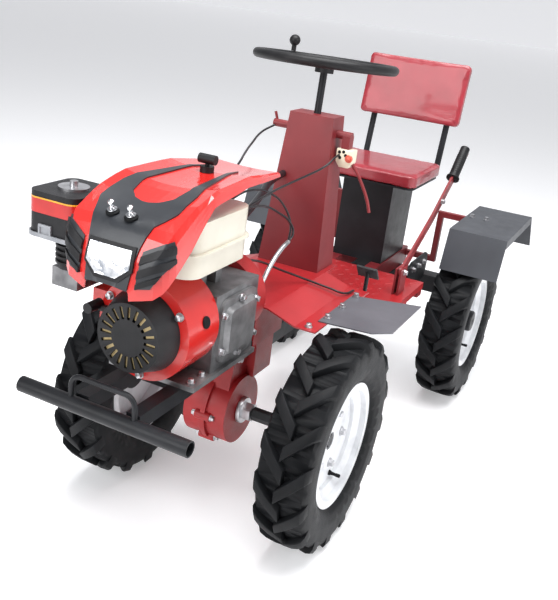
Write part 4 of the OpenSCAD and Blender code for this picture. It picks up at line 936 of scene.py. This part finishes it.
def held_cable(name, line, thick, made=cable_black):
    """A round sleeve or bar along a line of points in millimetres, fixed at its ends."""
    bpy.ops.object.select_all(action="DESELECT")
    bpy.ops.curve.primitive_bezier_curve_add(location=(0, 0, 0))
    path = bpy.context.object
    path.name = name
    spline = path.data.splines[0]
    spline.bezier_points.add(len(line) - 2)
    for bend, place in zip(spline.bezier_points, line):
        bend.co = spot(*place)
        bend.handle_left_type = bend.handle_right_type = "AUTO"
    path.data.bevel_depth = thick / 1000
    path.data.bevel_resolution = 3
    path.data.resolution_u = 8
    path.data.use_fill_caps = True
    bpy.ops.object.convert(target="MESH")
    sleeve = bpy.context.object
    bpy.ops.object.shade_smooth()
    return place_piece(sleeve, "front_unit", made)


cable_runs = {
    "brake_cable": [(-356, 88, 944), (-335, 84, 937), (-312, 80, 925), (-290, 72, 914), (-220, 55, 898),
                    (-130, 48, 890), (-40, 47, 884), (40, 46, 874), (120, 44, 862), (190, 42, 857)],
    "throttle_cable": [(-362, -122, 990), (-320, -135, 975), (-230, -120, 954), (-140, -92, 943),
                       (-50, -60, 934), (40, -45, 905), (120, -40, 878), (190, -38, 860)],
    "gear_cable": [(-145, 62, 733), (-152, 60, 775), (-130, 44, 830), (-80, 26, 868), (-10, 6, 886),
                   (60, -12, 870), (120, -22, 842), (190, -28, 829)],
    "choke_cable": [(-145, 62, 732), (-160, 66, 755), (-142, 58, 790), (-110, 40, 815), (-60, 24, 838),
                    (0, 18, 846), (90, 4, 842), (190, 2, 822)],
    "clutch_cable": [(46, 39, 725), (-40, 42, 697), (-130, 58, 656), (-186, 90, 630), (-215, 131, 614),
                     (-232, 165, 604), (-250, 200, 594), (-296, 212, 592)],
}
for name, line in cable_runs.items():
    held_cable(name, line, 3)
held_cable("air_hose", [(190, 24, 832), (100, 17, 828), (30, 9, 826), (-3, 1, 827), (-130, -24, 850),
                        (-200, -42, 862), (-321, -58, 868)], 10)

# Brake lever: a round bar under red rubber that hangs from the lever block, bent outwards for the hand.
held_cable("brake_lever", [(-372, 112, 936), (-374, 138, 905), (-376, 162, 868), (-378, 182, 828),
                           (-379, 192, 797)], 4.5, dull_red)

# Lift lever grip: a black rubber sleeve with a collar at its foot and shallow ridges, pushed on the bar end.
grip_foot, grip_tip = spot(-1091, 236, 791), spot(-1193, 236, 883)
grip_l = (grip_tip - grip_foot).length * 1000
ridges = [(r, 16 + i * 9 + d) for i in range(10) for r, d in ((17.6, 0), (17.6, 5), (16.8, 6), (16.8, 8))]
lever_grip = turned("lever_grip_form", [(17, -2), (23, 0), (23, 5), (18, 7)]
                    + [(r, z) for r, z in ridges if z < grip_l - 4]
                    + [(16.5, grip_l), (13, grip_l + 3), (3, grip_l + 4)], 28)
set_out(lever_grip, "lever_grip", [(grip_foot, grip_tip - grip_foot)], "rear_unit", grip_black)
bpy.data.objects.remove(lever_grip)

# Lift plate: a black plate with clipped corners behind the floor, beside the lift lever, welded to the
# floor's edge.
lift_plate = sawn_block("lift_plate", spot(-927.8, 212, 486), (225, 5, 100))
bpy.ops.object.mode_set(mode="EDIT")
round_corners(lift_plate, 1, 34, 2)
bpy.ops.object.mode_set(mode="OBJECT")
place_piece(lift_plate, "rear_unit", black_steel)

# Nuts of the lift linkage, on the outer side of the lever, its ears and the plate.
set_out(case_bolt, "lift_nuts",
        [(spot(-655, 246.5, 560), (0, 1, 0)), (spot(-985, 240, 729), (0, 1, 0))]
        + [(spot(x, 214.6, z), (0, 1, 0)) for x, z in ((-870, 506), (-930, 506), (-990, 506))],
        "rear_unit", zinc)
bpy.data.objects.remove(case_bolt)
